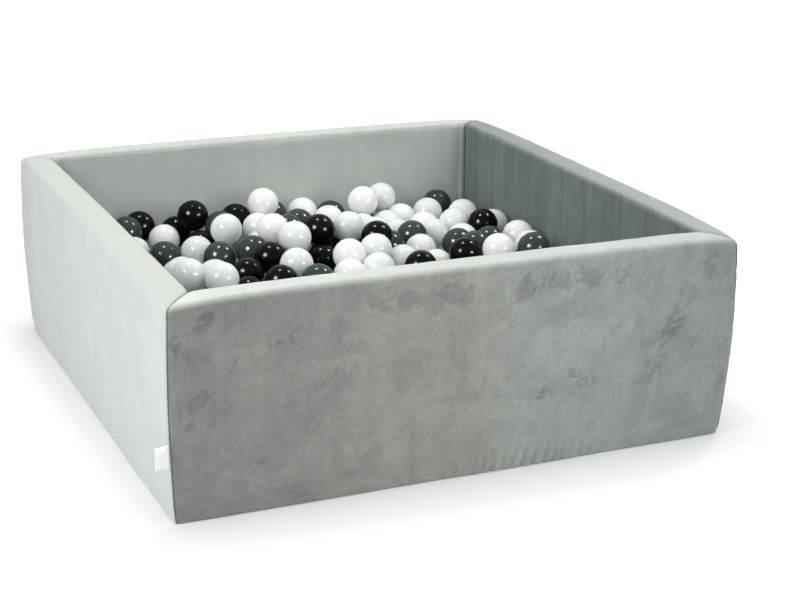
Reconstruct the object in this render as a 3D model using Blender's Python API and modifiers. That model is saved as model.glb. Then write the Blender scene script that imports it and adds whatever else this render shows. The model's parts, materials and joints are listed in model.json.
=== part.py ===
"""Square foam ball pit in crushed velvet, with its mat, its zip and its balls.

Metres, +Z up. The origin is the centre of the underside, and the near wall faces -Y.
Each wall is a foam block in a velvet wrap that runs up its outer face, over the rim and
down its inner face, with a mitred seam at every corner.
"""
import math

import bmesh
import bpy
import numpy as np
from mathutils import Matrix, Vector

# Walls
PIT_SIDE = 1.100            # between the outer top corners
RIM_HEIGHT = 0.398          # floor to rim, in the middle of a wall
FOAM_THICKNESS = 0.050
VELVET_THICKNESS = 0.0045   # velvet with its wadding
EDGE_RADIUS = 0.012         # rounding along both edges of the rim
EDGE_SLACK = 0.0005         # the foam's rounding stands back by this much more than its faces
BOTTOM_TUCK = 0.0066        # the outer face stands in by this much at its foot
SIDE_BOW = 0.006            # and bows out again by this much at half height
OUTER_CORNER_DROP = 0.010   # the rim sinks towards its outer corners
INNER_CORNER_DROP = 0.003
CORNER_DROP_POWER = 6       # how closely that drop keeps to the corners
FACE_ROWS = 4
ARC_STEPS = 3
COLUMN_SHARES = (0.0, 0.5, 0.8, 0.93, 1.03)   # of half a side, from the middle of a wall

# Base and mat
BASE_THICKNESS = 0.003
MAT_THICKNESS = 0.050
MAT_SKIN = 0.0015
MAT_CLEARANCE = 0.002       # mat to wall
MAT_EDGE_ROUNDING = 0.008
MAT_ROUNDING_STEPS = 2

# Balls
BALL_DIAMETER = 0.070
BALL_CORNER_SHARE = 1.05    # a faceted ball's corners stand out as far as its facets sink in
BED_HEIGHT = 0.203          # top of the lower layers, above the floor
BED_CLEARANCE = 0.002       # lower layers to wall
BED_DIP = 0.001             # least depth to which a joined ball sinks into the bed
LAYER_RISE = 0.0099         # from the bed's top to the centres of the balls that lie straight on it
LAYER_SWELL = 0.006         # that height rises and falls by this much
SWELL_LENGTH_X = 0.861
SWELL_LENGTH_Y = 1.030
SWELL_PHASES = (1.0, 0.4)
FILLER_RISE = 0.029         # from the bed's top to the centre of the highest filler ball
FILLER_SPOTS = 20000        # places tried for the balls that fill up the layer
FILLER_SEED = 11
SNUG_SHARE = 0.3            # how much a filler ball prefers to lie against another
LEVEL_SLOPE = 1e-4          # a facet whose normal rises or falls by less stands upright

# Zip, low on the back wall
ZIP_HEIGHT = 0.036          # centre line above the floor
ZIP_END_MARGIN = 0.150      # from the pit's corner to the end of the zip
ZIP_TAPE_WIDTH = 0.006      # what shows of each tape
ZIP_TAPE_THICKNESS = 0.0010
ZIP_TAPE_DEPTH = 0.0018     # from the velvet's surface to the face of the tape
ZIP_CHAIN_WIDTH = 0.004
ZIP_CHAIN_THICKNESS = 0.0022
ZIP_STOP_LENGTH = 0.003
SLIDER_LENGTH = 0.010
SLIDER_WIDTH = 0.0075
SLIDER_PLATE = 0.0009
SLIDER_FLANGE = 0.0006
BRIDGE_LENGTH = 0.0056
BRIDGE_WIDTH = 0.0016
BRIDGE_OPENING = 0.0018     # clear height under the bridge
BRIDGE_WALL = 0.0008
BRIDGE_ROOT = 0.0002        # how far its legs sink into the plate
PULL_LENGTH = 0.022
PULL_WIDTH = 0.0062
PULL_BAR = 0.0010           # thickness of the pull and width of its crossbar
PULL_WINDOW_LENGTH = 0.0048
PULL_WINDOW_WIDTH = 0.0030

# Side label, a folded loop of blank ribbon in the near left corner seam
LABEL_HEIGHT = 0.050
LABEL_REACH = 0.030
LABEL_CENTRE_HEIGHT = 0.128
RIBBON_THICKNESS = 0.0008
LABEL_FOLD_GAP = 0.0022     # between the two layers' middles
LABEL_FOLD_STEPS = 4
LABEL_TURN = math.radians(17)   # from -X towards -Y

# Clearances
GAP = 0.0003                # between parts that touch
CUT_OVERRUN = 0.004         # how far a cutter runs past what it cuts

# Derived sizes
WALL_THICKNESS = FOAM_THICKNESS + 2 * (VELVET_THICKNESS + GAP)
WALL_FOOT = BASE_THICKNESS + GAP
WALL_HEIGHT = RIM_HEIGHT - WALL_FOOT
INNER_HALF = PIT_SIDE / 2 - WALL_THICKNESS
MAT_HALF = INNER_HALF - MAT_CLEARANCE
MAT_BOTTOM = BASE_THICKNESS + GAP
MAT_TOP = MAT_BOTTOM + MAT_THICKNESS
BED_BOTTOM = MAT_TOP + GAP
BALL_RADIUS = BALL_DIAMETER / 2
LAYER_HEIGHT = BED_HEIGHT + LAYER_RISE
HIGHEST_FILLER = BED_HEIGHT + FILLER_RISE
ZIP_LENGTH = PIT_SIDE - 2 * ZIP_END_MARGIN

# Places of the balls that show, as shares of the pit's inner half width, in the order in
# which they come to rest. The letter is the tone: black, graphite, white or pearl. It is a
# capital on a ball that lies loose on the others, clear of the bed.
SHOWN_BALL_SHARES = (
    (0.61, 0.61, "w"), (-0.05, 0.78, "k"), (0.19, 0.52, "g"), (0.57, 0.78, "w"),
    (0.73, 0.54, "p"), (0.06, 0.65, "w"), (-0.48, 0.91, "k"), (0.72, 0.81, "p"),
    (0.38, 0.82, "g"), (0.26, 0.89, "g"), (0.86, 0.72, "w"), (0.69, 0.37, "w"),
    (0.46, 0.69, "p"), (-0.63, 0.33, "w"), (-0.44, 0.66, "k"), (-0.02, 0.91, "g"),
    (0.45, 0.55, "p"), (0.59, 0.47, "p"), (0.61, 0.25, "g"), (-0.57, 0.79, "w"),
    (-0.64, 0.55, "g"), (-0.33, 0.72, "G"), (-0.02, 0.28, "k"), (0.06, 0.43, "k"),
    (0.20, 0.76, "w"), (0.12, 0.89, "w"), (0.40, 0.02, "w"), (-0.16, 0.71, "w"),
    (0.46, 0.41, "g"), (-0.22, 0.84, "K"), (-0.45, -0.01, "k"), (0.82, 0.92, "g"),
    (-0.51, 0.25, "p"), (0.70, 0.03, "k"), (-0.65, 0.90, "K"), (-0.45, 0.37, "g"),
    (0.44, 0.27, "w"), (-0.50, 0.53, "p"), (0.78, -0.09, "k"), (0.92, 0.30, "k"),
    (-0.74, 0.79, "G"), (0.92, 0.52, "p"), (0.58, 0.01, "G"), (0.48, -0.09, "K"),
    (-0.57, -0.03, "P"), (0.29, -0.06, "k"), (-0.33, -0.06, "k"), (0.82, 0.43, "k"),
    (0.85, 0.03, "w"), (-0.19, -0.11, "g"), (-0.68, 0.06, "P"), (0.87, 0.18, "w"),
    (-0.02, 0.57, "G"), (-0.23, 0.03, "P"), (-0.43, 0.81, "K"), (-0.05, -0.11, "W"),
    (-0.35, 0.58, "P"), (-0.11, 0.46, "G"), (0.36, 0.74, "W"), (0.27, 0.08, "p"),
    (-0.41, 0.12, "k"), (0.09, -0.08, "P"), (0.14, 0.07, "P"), (0.00, 0.37, "K"),
    (0.51, 0.88, "P"), (0.15, 0.40, "P"), (0.20, 0.20, "K"), (-0.29, 0.18, "K"),
    (0.30, 0.45, "w"), (-0.10, 0.81, "W"), (0.60, -0.16, "W"), (-0.32, 0.32, "G"),
    (0.00, 0.02, "W"), (-0.21, 0.37, "W"), (-0.17, 0.21, "P"), (0.74, -0.21, "G"),
)

WALL_TURNS = {"front": 0, "right": 1, "back": 2, "left": 3}   # quarter turns about +Z

COLOURS = {
    "velvet": ((0.55, 0.58, 0.54), 0.90, 0.0),
    "foam": ((0.86, 0.86, 0.80), 0.95, 0.0),
    "base": ((0.20, 0.21, 0.21), 0.90, 0.0),
    "mat": ((0.33, 0.35, 0.34), 0.90, 0.0),
    "tape": ((0.45, 0.47, 0.45), 0.85, 0.0),
    "nylon": ((0.38, 0.40, 0.38), 0.45, 0.0),
    "zinc": ((0.52, 0.52, 0.50), 0.35, 1.0),
    "ribbon": ((0.92, 0.93, 0.93), 0.60, 0.0),
    "depth": ((0.05, 0.05, 0.05), 0.60, 0.0),
    "black": ((0.010, 0.010, 0.011), 0.18, 0.0),
    "graphite": ((0.055, 0.065, 0.068), 0.20, 0.0),
    "white": ((0.86, 0.87, 0.88), 0.20, 0.0),
    "pearl": ((0.66, 0.68, 0.69), 0.22, 0.0),
}
TONES = {"k": "black", "g": "graphite", "w": "white", "p": "pearl"}
BED_SLOTS = ("depth", "black", "graphite", "white", "pearl")


def clear_scene():
    for item in list(bpy.data.objects):
        bpy.data.objects.remove(item, do_unlink=True)


def new_collection(name):
    collection = bpy.data.collections.new(name)
    bpy.context.scene.collection.children.link(collection)
    return collection


def material(name):
    """The Principled material of that name, made when it is first asked for."""
    made = bpy.data.materials.get(name)
    if made:
        return made
    colour, roughness, metallic = COLOURS[name]
    made = bpy.data.materials.new(name)
    made.use_nodes = True
    shader = made.node_tree.nodes["Principled BSDF"]
    shader.inputs["Base Color"].default_value = (*colour, 1)
    shader.inputs["Roughness"].default_value = roughness
    shader.inputs["Metallic"].default_value = metallic
    made.diffuse_color = (*colour, 1)
    return made


def mesh_from(bm, name):
    mesh = bpy.data.meshes.new(name)
    bm.to_mesh(mesh)
    bm.free()
    return mesh


def add_part(name, mesh, slots=(), parent=None, location=(0, 0, 0), turn=0.0):
    """A sub-part in the pit's collection, turned about +Z and moved to its place."""
    part = bpy.data.objects.new(name, mesh)
    for slot in slots:
        mesh.materials.append(material(slot))
    part.parent = parent
    part.location = location
    part.rotation_euler = (0, 0, turn)
    PIT.objects.link(part)
    return part


def add_guide(name, mesh, parent=None, turn=0.0):
    """A shape that only cuts or joins others."""
    guide = bpy.data.objects.new(name, mesh)
    guide.parent = parent
    guide.rotation_euler = (0, 0, turn)
    guide.hide_render = True
    guide.display_type = "WIRE"
    GUIDES.objects.link(guide)
    return guide


def box_mesh(name, low, high):
    """A box between two corners."""
    bm = bmesh.new()
    bmesh.ops.create_cube(bm, size=1)
    low, high = Vector(low), Vector(high)
    size = high - low
    middle = (low + high) / 2
    for vert in bm.verts:
        vert.co = Vector(c * s for c, s in zip(vert.co, size)) + middle
    return mesh_from(bm, name)


def combine(part, other, operation):
    step = part.modifiers.new(operation.lower(), "BOOLEAN")
    step.operation = operation
    step.solver = "EXACT"
    step.object = other
    return step


def round_edges(part, radius, steps):
    step = part.modifiers.new("rounding", "BEVEL")
    step.width = radius
    step.segments = steps
    step.limit_method = "ANGLE"
    return step


def thicken(part, thickness):
    """Turn an open surface into a sheet that lies behind it."""
    step = part.modifiers.new("thickness", "SOLIDIFY")
    step.thickness = thickness
    step.offset = -1
    step.use_even_offset = True
    return step


def lean(height):
    """How far a wall's outer face stands in from the nominal side at a height over its foot."""
    share = height / WALL_HEIGHT
    return BOTTOM_TUCK * (1 - share) - SIDE_BOW * 4 * share * (1 - share)


def face_lean(height):
    """The same for the outer face as built, which is straight from row to row."""
    row_height = (WALL_HEIGHT - EDGE_RADIUS) / FACE_ROWS
    low = math.floor(height / row_height) * row_height
    return lean(low) + (lean(low + row_height) - lean(low)) * (height - low) / row_height


def wall_section(inset, slack):
    """Depth behind the nominal outer face and height over the foot, round a wall's outline."""
    radius = EDGE_RADIUS - inset - slack
    spring = WALL_HEIGHT - EDGE_RADIUS
    quarter = [math.radians(90) * step / ARC_STEPS for step in range(ARC_STEPS + 1)]
    points = [(inset, spring * row / FACE_ROWS) for row in range(FACE_ROWS)]
    points += [(EDGE_RADIUS - radius * math.cos(a), spring + radius * math.sin(a)) for a in quarter]
    points.append((WALL_THICKNESS / 2, WALL_HEIGHT - inset))
    inner = WALL_THICKNESS - EDGE_RADIUS
    points += [(inner + radius * math.sin(a), spring + radius * math.cos(a)) for a in quarter]
    points.append((WALL_THICKNESS - inset, 0.0))
    return points


def wall_point(along, depth, height):
    """A point of the front wall, with the lean of its face and the drop of its corners."""
    if depth < WALL_THICKNESS / 2:
        depth += lean(height)
    inward = depth / WALL_THICKNESS
    drop = OUTER_CORNER_DROP + (INNER_CORNER_DROP - OUTER_CORNER_DROP) * inward
    drop *= (abs(along) / (PIT_SIDE / 2)) ** CORNER_DROP_POWER
    height *= 1 - drop / WALL_HEIGHT
    return Vector((along, depth - PIT_SIDE / 2, WALL_FOOT + height))


def wall_mesh(name, inset, slack, closed):
    """The front wall's outline drawn along the wall, as a sheet or as a closed block."""
    section = wall_section(inset, slack)
    if closed:
        section.append(section[0])
    shares = [-share for share in reversed(COLUMN_SHARES[1:])] + list(COLUMN_SHARES)
    columns, rows = len(shares) - 1, len(section) - 1
    bm = bmesh.new()
    bmesh.ops.create_grid(bm, x_segments=columns, y_segments=rows, size=1)
    for vert in bm.verts:
        column = round((vert.co.x + 1) / 2 * columns)
        row = round((vert.co.y + 1) / 2 * rows)
        vert.co = wall_point(shares[column] * PIT_SIDE / 2, *section[row])
    if closed:
        bmesh.ops.remove_doubles(bm, verts=bm.verts, dist=GAP / 10)
        bmesh.ops.holes_fill(bm, edges=bm.edges, sides=0)
    return mesh_from(bm, name)


def mitre_mesh(name):
    """A wedge that holds the front wall between the mitre planes of its two corners."""
    bm = bmesh.new()
    bmesh.ops.create_cube(bm, size=2)
    outer = PIT_SIDE / 2 + CUT_OVERRUN
    inner = INNER_HALF - CUT_OVERRUN
    for vert in bm.verts:
        reach = outer if vert.co.y < 0 else inner
        vert.co.x *= reach - GAP / math.sqrt(2)
        vert.co.y = -reach
        vert.co.z = RIM_HEIGHT + CUT_OVERRUN if vert.co.z > 0 else -CUT_OVERRUN
    return mesh_from(bm, name)


def make_walls():
    """Four foam blocks and four velvet wraps, all mitred at the corners."""
    foam_mesh = wall_mesh("wall_foam", VELVET_THICKNESS + GAP, EDGE_SLACK, closed=True)
    foam_mesh.materials.append(material("foam"))
    wrap_mesh = wall_mesh("wall_cover", 0.0, 0.0, closed=False)
    wrap_mesh.materials.append(material("velvet"))
    wedge_mesh = mitre_mesh("mitre_wedge")
    for side, quarter in WALL_TURNS.items():
        turn = math.radians(90) * quarter
        wedge = add_guide(f"mitre_{side}", wedge_mesh, turn=turn)
        foam = add_part(f"wall_foam_{side}", foam_mesh, turn=turn)
        combine(foam, wedge, "INTERSECT")
        wrap = add_part(f"cover_{side}", wrap_mesh, turn=turn)
        thicken(wrap, VELVET_THICKNESS)
        combine(wrap, wedge, "INTERSECT")
        if side == "back":
            combine(wrap, add_guide("zip_slot", zip_slot_mesh(), turn=turn), "DIFFERENCE")


def make_base():
    """The non-slip panel that closes the underside and carries the walls."""
    half = PIT_SIDE / 2 - BOTTOM_TUCK
    mesh = box_mesh("base_panel", (-half, -half, 0), (half, half, BASE_THICKNESS))
    add_part("base_panel", mesh, ["base"])


def make_mat():
    """The foam mat that lies inside, in a cover of two panels."""
    mesh = box_mesh("mat_cover_top", (-MAT_HALF, -MAT_HALF, MAT_BOTTOM), (MAT_HALF, MAT_HALF, MAT_TOP))
    bm = bmesh.new()
    bm.from_mesh(mesh)
    underside = [face for face in bm.faces if face.normal.z < -0.5]
    bmesh.ops.delete(bm, geom=underside, context="FACES_ONLY")
    bm.to_mesh(mesh)
    bm.free()
    top = add_part("mat_cover_top", mesh, ["mat"])
    round_edges(top, MAT_EDGE_ROUNDING, MAT_ROUNDING_STEPS)
    thicken(top, MAT_SKIN)

    half = MAT_HALF - MAT_SKIN - GAP
    sheet_top = MAT_BOTTOM + MAT_SKIN
    sheet = box_mesh("mat_cover_bottom", (-half, -half, MAT_BOTTOM), (half, half, sheet_top))
    bm = bmesh.new()
    bm.from_mesh(sheet)
    upright = [edge for edge in bm.edges if abs(edge.verts[0].co.z - edge.verts[1].co.z) > GAP]
    radius = MAT_EDGE_ROUNDING - MAT_SKIN
    steps = MAT_ROUNDING_STEPS
    bmesh.ops.bevel(bm, geom=upright, offset=radius, segments=steps, profile=0.5, affect="EDGES")
    bm.to_mesh(sheet)
    bm.free()
    add_part("mat_cover_bottom", sheet, ["mat"])

    low = sheet_top + GAP
    high = MAT_TOP - MAT_SKIN - GAP
    foam = add_part("mat_foam", box_mesh("mat_foam", (-half, -half, low), (half, half, high)), ["foam"])
    round_edges(foam, MAT_EDGE_ROUNDING - MAT_SKIN, MAT_ROUNDING_STEPS)


def zip_face():
    """Y of the velvet's surface at the zip's height, in the frame of the front wall."""
    return face_lean(ZIP_HEIGHT - WALL_FOOT) - PIT_SIDE / 2


def zip_slot_half():
    return ZIP_CHAIN_WIDTH / 2 + GAP + ZIP_TAPE_WIDTH + GAP


def zip_slot_mesh():
    """The opening in the velvet that the tapes fill."""
    half = ZIP_LENGTH / 2 + GAP
    back = zip_face() + VELVET_THICKNESS + CUT_OVERRUN
    low = (-half, -PIT_SIDE / 2 - CUT_OVERRUN, ZIP_HEIGHT - zip_slot_half())
    high = (half, back, ZIP_HEIGHT + zip_slot_half())
    return box_mesh("zip_slot", low, high)


def make_zip():
    """Tapes, chain, stops, slider and pull, built on the front wall and turned to the back."""
    frame = bpy.data.objects.new("back_wall_frame", None)
    frame.rotation_euler = (0, 0, math.radians(90) * WALL_TURNS["back"])
    PIT.objects.link(frame)
    tape_front = zip_face() + ZIP_TAPE_DEPTH
    tape_back = tape_front + ZIP_TAPE_THICKNESS
    middle = (tape_front + tape_back) / 2
    chain_front = middle - ZIP_CHAIN_THICKNESS / 2
    chain_back = middle + ZIP_CHAIN_THICKNESS / 2
    chain_half = ZIP_CHAIN_WIDTH / 2
    half = ZIP_LENGTH / 2

    for name, side in (("zip_tape_upper", 1), ("zip_tape_lower", -1)):
        edges = sorted((side * (chain_half + GAP), side * (chain_half + GAP + ZIP_TAPE_WIDTH)))
        low = (-half, tape_front, ZIP_HEIGHT + edges[0])
        high = (half, tape_back, ZIP_HEIGHT + edges[1])
        add_part(name, box_mesh(name, low, high), ["tape"], parent=frame)

    chain_end = half - ZIP_STOP_LENGTH - GAP
    low = (-chain_end, chain_front, ZIP_HEIGHT - chain_half)
    high = (chain_end, chain_back, ZIP_HEIGHT + chain_half)
    add_part("zip_chain", box_mesh("zip_chain", low, high), ["nylon"], parent=frame)
    for name, side in (("zip_stop_closed", 1), ("zip_stop_open", -1)):
        ends = sorted((side * half, side * (half - ZIP_STOP_LENGTH)))
        low = (ends[0], chain_front - SLIDER_PLATE, ZIP_HEIGHT - chain_half)
        high = (ends[1], chain_back, ZIP_HEIGHT + chain_half)
        add_part(name, box_mesh(name, low, high), ["zinc"], parent=frame)

    slider_x = half - ZIP_STOP_LENGTH - GAP - SLIDER_LENGTH / 2
    plate_back = chain_front - GAP
    plate_front = plate_back - SLIDER_PLATE
    make_slider(frame, slider_x, plate_front, plate_back)
    make_pull(frame, slider_x, plate_front - BRIDGE_OPENING / 2)


def make_slider(frame, at, plate_front, plate_back):
    """A plate with two flanges that straddle the chain, and a bridge for the pull."""
    place = (at, 0, ZIP_HEIGHT)
    half_length, half_width = SLIDER_LENGTH / 2, SLIDER_WIDTH / 2
    channel_half = ZIP_CHAIN_WIDTH / 2 + GAP
    flange_back = plate_back + SLIDER_FLANGE
    low = (-half_length, plate_front, -half_width)
    high = (half_length, flange_back, half_width)
    slider = add_part("zip_slider", box_mesh("zip_slider", low, high), ["zinc"], frame, place)

    low = (-half_length - CUT_OVERRUN, plate_back, -channel_half)
    high = (half_length + CUT_OVERRUN, flange_back + CUT_OVERRUN, channel_half)
    channel = add_guide("slider_channel", box_mesh("slider_channel", low, high), parent=slider)
    combine(slider, channel, "DIFFERENCE")

    bridge_front = plate_front - BRIDGE_OPENING - BRIDGE_WALL
    low = (-BRIDGE_LENGTH / 2, bridge_front, -BRIDGE_WIDTH / 2)
    high = (BRIDGE_LENGTH / 2, plate_front + BRIDGE_ROOT, BRIDGE_WIDTH / 2)
    bridge = add_guide("slider_bridge", box_mesh("slider_bridge", low, high), parent=slider)
    leg = BRIDGE_LENGTH / 2 - BRIDGE_WALL
    low = (-leg, bridge_front + BRIDGE_WALL, -BRIDGE_WIDTH)
    high = (leg, plate_front + CUT_OVERRUN, BRIDGE_WIDTH)
    opening = add_guide("bridge_opening", box_mesh("bridge_opening", low, high), parent=slider)
    combine(bridge, opening, "DIFFERENCE")
    combine(slider, bridge, "UNION")


def make_pull(frame, at, pivot_depth):
    """A flat tab whose crossbar turns under the slider's bridge, about a vertical axis."""
    bar = PULL_BAR / 2
    low = (bar - PULL_LENGTH, -bar, -PULL_WIDTH / 2)
    high = (bar, bar, PULL_WIDTH / 2)
    place = (at, pivot_depth, ZIP_HEIGHT)
    pull = add_part("zip_pull", box_mesh("zip_pull", low, high), ["zinc"], frame, place)
    low = (-bar - PULL_WINDOW_LENGTH, -CUT_OVERRUN, -PULL_WINDOW_WIDTH / 2)
    high = (-bar, CUT_OVERRUN, PULL_WINDOW_WIDTH / 2)
    window = add_guide("pull_window", box_mesh("pull_window", low, high), parent=pull)
    combine(pull, window, "DIFFERENCE")


def make_label():
    """A loop of ribbon, folded at its outer end, that hangs out of the corner seam."""
    straight = LABEL_REACH - LABEL_FOLD_GAP / 2
    fold = []
    for step in range(LABEL_FOLD_STEPS + 1):
        angle = math.radians(90) - math.radians(180) * step / LABEL_FOLD_STEPS
        fold.append((straight + LABEL_FOLD_GAP / 2 * math.cos(angle), LABEL_FOLD_GAP / 2 * math.sin(angle)))
    path = [(0.0, LABEL_FOLD_GAP / 2), *fold, (0.0, -LABEL_FOLD_GAP / 2)]
    bm = bmesh.new()
    foot = [bm.verts.new((x, y, -LABEL_HEIGHT / 2)) for x, y in path]
    edges = [bm.edges.new(pair) for pair in zip(foot, foot[1:])]
    raised = bmesh.ops.extrude_edge_only(bm, edges=edges)["geom"]
    top = [item for item in raised if isinstance(item, bmesh.types.BMVert)]
    bmesh.ops.translate(bm, verts=top, vec=(0, 0, LABEL_HEIGHT))
    bmesh.ops.recalc_face_normals(bm, faces=bm.faces)
    top_height = LABEL_CENTRE_HEIGHT + LABEL_HEIGHT / 2 - WALL_FOOT
    top_height /= 1 - OUTER_CORNER_DROP / WALL_HEIGHT
    clear = GAP / (math.cos(LABEL_TURN) + math.sin(LABEL_TURN))
    corner = face_lean(top_height) - PIT_SIDE / 2 - clear
    place = (corner, corner, LABEL_CENTRE_HEIGHT)
    turn = math.radians(180) + LABEL_TURN
    label = add_part("side_label", mesh_from(bm, "side_label"), ["ribbon"], location=place, turn=turn)
    step = thicken(label, RIBBON_THICKNESS)
    step.offset = 0


def ball_bmesh():
    """A round ball of sixty like facets, the same seen along each axis.

    An icosahedron's faces are raised at their middles, its own edges are turned to join
    those middles, and all corners are set at one distance from the centre.
    """
    golden = (1 + math.sqrt(5)) / 2
    bm = bmesh.new()
    bmesh.ops.create_icosphere(bm, subdivisions=1, radius=1)
    tilt = Matrix.Rotation(-math.atan(1 / golden), 3, "X") @ Matrix.Rotation(-math.radians(90), 3, "Z")
    first_edges = bm.edges[:]
    bmesh.ops.poke(bm, faces=bm.faces[:])
    bmesh.ops.rotate_edges(bm, edges=first_edges)
    for vert in bm.verts:
        vert.co = tilt @ vert.co.normalized() * BALL_CORNER_SHARE * BALL_RADIUS
    bm.normal_update()
    inward = [face for face in bm.faces if face.normal.dot(face.verts[0].co) < 0]
    bmesh.ops.reverse_faces(bm, faces=inward)
    return bm


def ball_facets():
    """Unit normals of the ball's facets and their distance from its centre."""
    bm = ball_bmesh()
    bm.normal_update()
    normals = np.array([face.normal[:] for face in bm.faces])
    distances = np.array([face.normal.dot(face.verts[0].co) for face in bm.faces])
    bm.free()
    return normals, distances


def layer_heights(spots):
    """Height of a ball that lies straight on the lower layers, for each place in plan."""
    across = np.sin(math.tau * spots[:, 0] / SWELL_LENGTH_X + SWELL_PHASES[0])
    along = np.cos(math.tau * spots[:, 1] / SWELL_LENGTH_Y + SWELL_PHASES[1])
    return LAYER_HEIGHT + LAYER_SWELL * across * along


def heights_over(spots, centre, facets):
    """Lowest height at each place in plan that clears one ball from above, or -1 beside it.

    Two like balls that face the same way meet where the step between their centres comes
    inside a ball twice the size, so each facet of that ball gives one bound.
    """
    normals, distances = facets
    above, below = normals[:, 2] > LEVEL_SLOPE, normals[:, 2] < -LEVEL_SLOPE
    beside = ~above & ~below
    step = spots - np.asarray(centre[:2])
    bounds = 2 * distances + GAP - step @ normals[:, :2].T
    ceiling = (bounds[:, above] / normals[above, 2]).min(axis=1)
    floor = (bounds[:, below] / normals[below, 2]).max(axis=1)
    meets = (ceiling > floor) & (bounds[:, beside] > 0).all(axis=1)
    return np.where(meets, centre[2] + ceiling, -1)


def lower_onto(spots, balls, facets):
    """Height at which a ball let down at each place in plan comes to rest."""
    heights = layer_heights(spots)
    for ball in balls:
        heights = np.maximum(heights, heights_over(spots, ball[:3], facets))
    return heights


def lowest_loose():
    """Height at which a ball just clears the bed's top."""
    bm = ball_bmesh()
    lowest_corner = min(vert.co.z for vert in bm.verts)
    bm.free()
    return BED_HEIGHT + GAP - lowest_corner


def shown_balls(facets):
    """The balls that show, let down one after another. Each is x, y, z and its tone."""
    balls = []
    for x_share, y_share, tone in SHOWN_BALL_SHARES:
        spot = np.array([[x_share, y_share]]) * INNER_HALF
        height = lower_onto(spot, balls, facets)[0]
        if tone.isupper():
            height = max(height, lowest_loose())
        balls.append((spot[0, 0], spot[0, 1], height, tone))
    return balls


def filler_balls(shown, facets):
    """Balls that fill up the rest of the top layer, each in the lowest and snuggest place."""
    draw = np.random.default_rng(FILLER_SEED)
    limit = INNER_HALF - BALL_RADIUS - 2 * GAP
    spots = draw.uniform(-limit, limit, (FILLER_SPOTS, 2))
    heights = lower_onto(spots, shown, facets)
    nearest = limit - np.abs(spots).max(axis=1)
    for ball in shown:
        away = np.hypot(*(spots - np.array(ball[:2])).T) - BALL_DIAMETER
        nearest = np.minimum(nearest, np.abs(away))
    balls = []
    while True:
        free = heights <= HIGHEST_FILLER
        if not free.any():
            return balls
        cost = np.where(free, heights + SNUG_SHARE * nearest, np.inf)
        chosen = int(np.argmin(cost))
        tone = "kgwp"[int(draw.integers(4))]
        ball = (spots[chosen, 0], spots[chosen, 1], heights[chosen], tone)
        balls.append(ball)
        heights = np.maximum(heights, heights_over(spots, ball[:3], facets))
        heights[chosen] = np.inf
        away = np.hypot(*(spots - np.array(ball[:2])).T) - BALL_DIAMETER
        nearest = np.minimum(nearest, np.abs(away))


def settled_balls():
    """All balls of the top layer, split into those on their own and those of the bed.

    A ball that is pushed up too high to reach into the bed stays on its own as well.
    """
    facets = ball_facets()
    shown = shown_balls(facets)
    balls = shown + filler_balls(shown, facets)
    highest_joined = BED_HEIGHT + BALL_RADIUS - BED_DIP
    single = [ball for ball in balls if ball[3].isupper()]
    others = [ball for ball in balls if ball[3].islower()]
    single += [ball for ball in others if ball[2] > highest_joined]
    joined = [ball for ball in others if ball[2] <= highest_joined]
    return single, joined


def ball_mesh(tone):
    """One ball of that tone, shaded smooth, shared by all balls of the tone."""
    name = f"ball_{tone}"
    mesh = bpy.data.meshes.get(name)
    if mesh is None:
        mesh = mesh_from(ball_bmesh(), name)
        mesh.materials.append(material(tone))
        mesh.shade_smooth()
    return mesh


def joined_ball_mesh(balls):
    """Many balls in one mesh, each with the slot of its tone."""
    whole = bmesh.new()
    for x, y, z, tone in balls:
        one = mesh_from(ball_bmesh(), "one_ball")
        one.transform(Matrix.Translation((x, y, z)))
        before = len(whole.faces)
        whole.from_mesh(one)
        bpy.data.meshes.remove(one)
        whole.faces.ensure_lookup_table()
        for face in whole.faces[before:]:
            face.material_index = BED_SLOTS.index(TONES[tone])
    mesh = mesh_from(whole, "joined_balls")
    for slot in BED_SLOTS:
        mesh.materials.append(material(slot))
    return mesh


def make_balls():
    """Single balls, and the bed of lower layers with the rest of the top layer joined to it."""
    single, joined = settled_balls()
    for number, (x, y, z, letter) in enumerate(single, 1):
        tone = TONES[letter.lower()]
        add_part(f"ball_{number:02d}_{tone}", ball_mesh(tone), location=(x, y, z))
    half = INNER_HALF - BED_CLEARANCE
    block = box_mesh("ball_bed", (-half, -half, BED_BOTTOM), (half, half, BED_HEIGHT))
    bed = add_part("ball_bed", block, BED_SLOTS)
    combine(bed, add_guide("joined_balls", joined_ball_mesh(joined)), "UNION")


clear_scene()
PIT = new_collection("ball_pit")
GUIDES = new_collection("guides")
make_walls()
make_base()
make_mat()
make_zip()
make_label()
make_balls()
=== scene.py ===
"""Looks for the velvet ball pit: walls, mat, zip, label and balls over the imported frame.

Metres, +Z up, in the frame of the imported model. The near wall faces -Y.
"""
import json
import math

import bmesh
import bpy
import numpy as np
from mathutils import Matrix, Quaternion, Vector, noise


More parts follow.
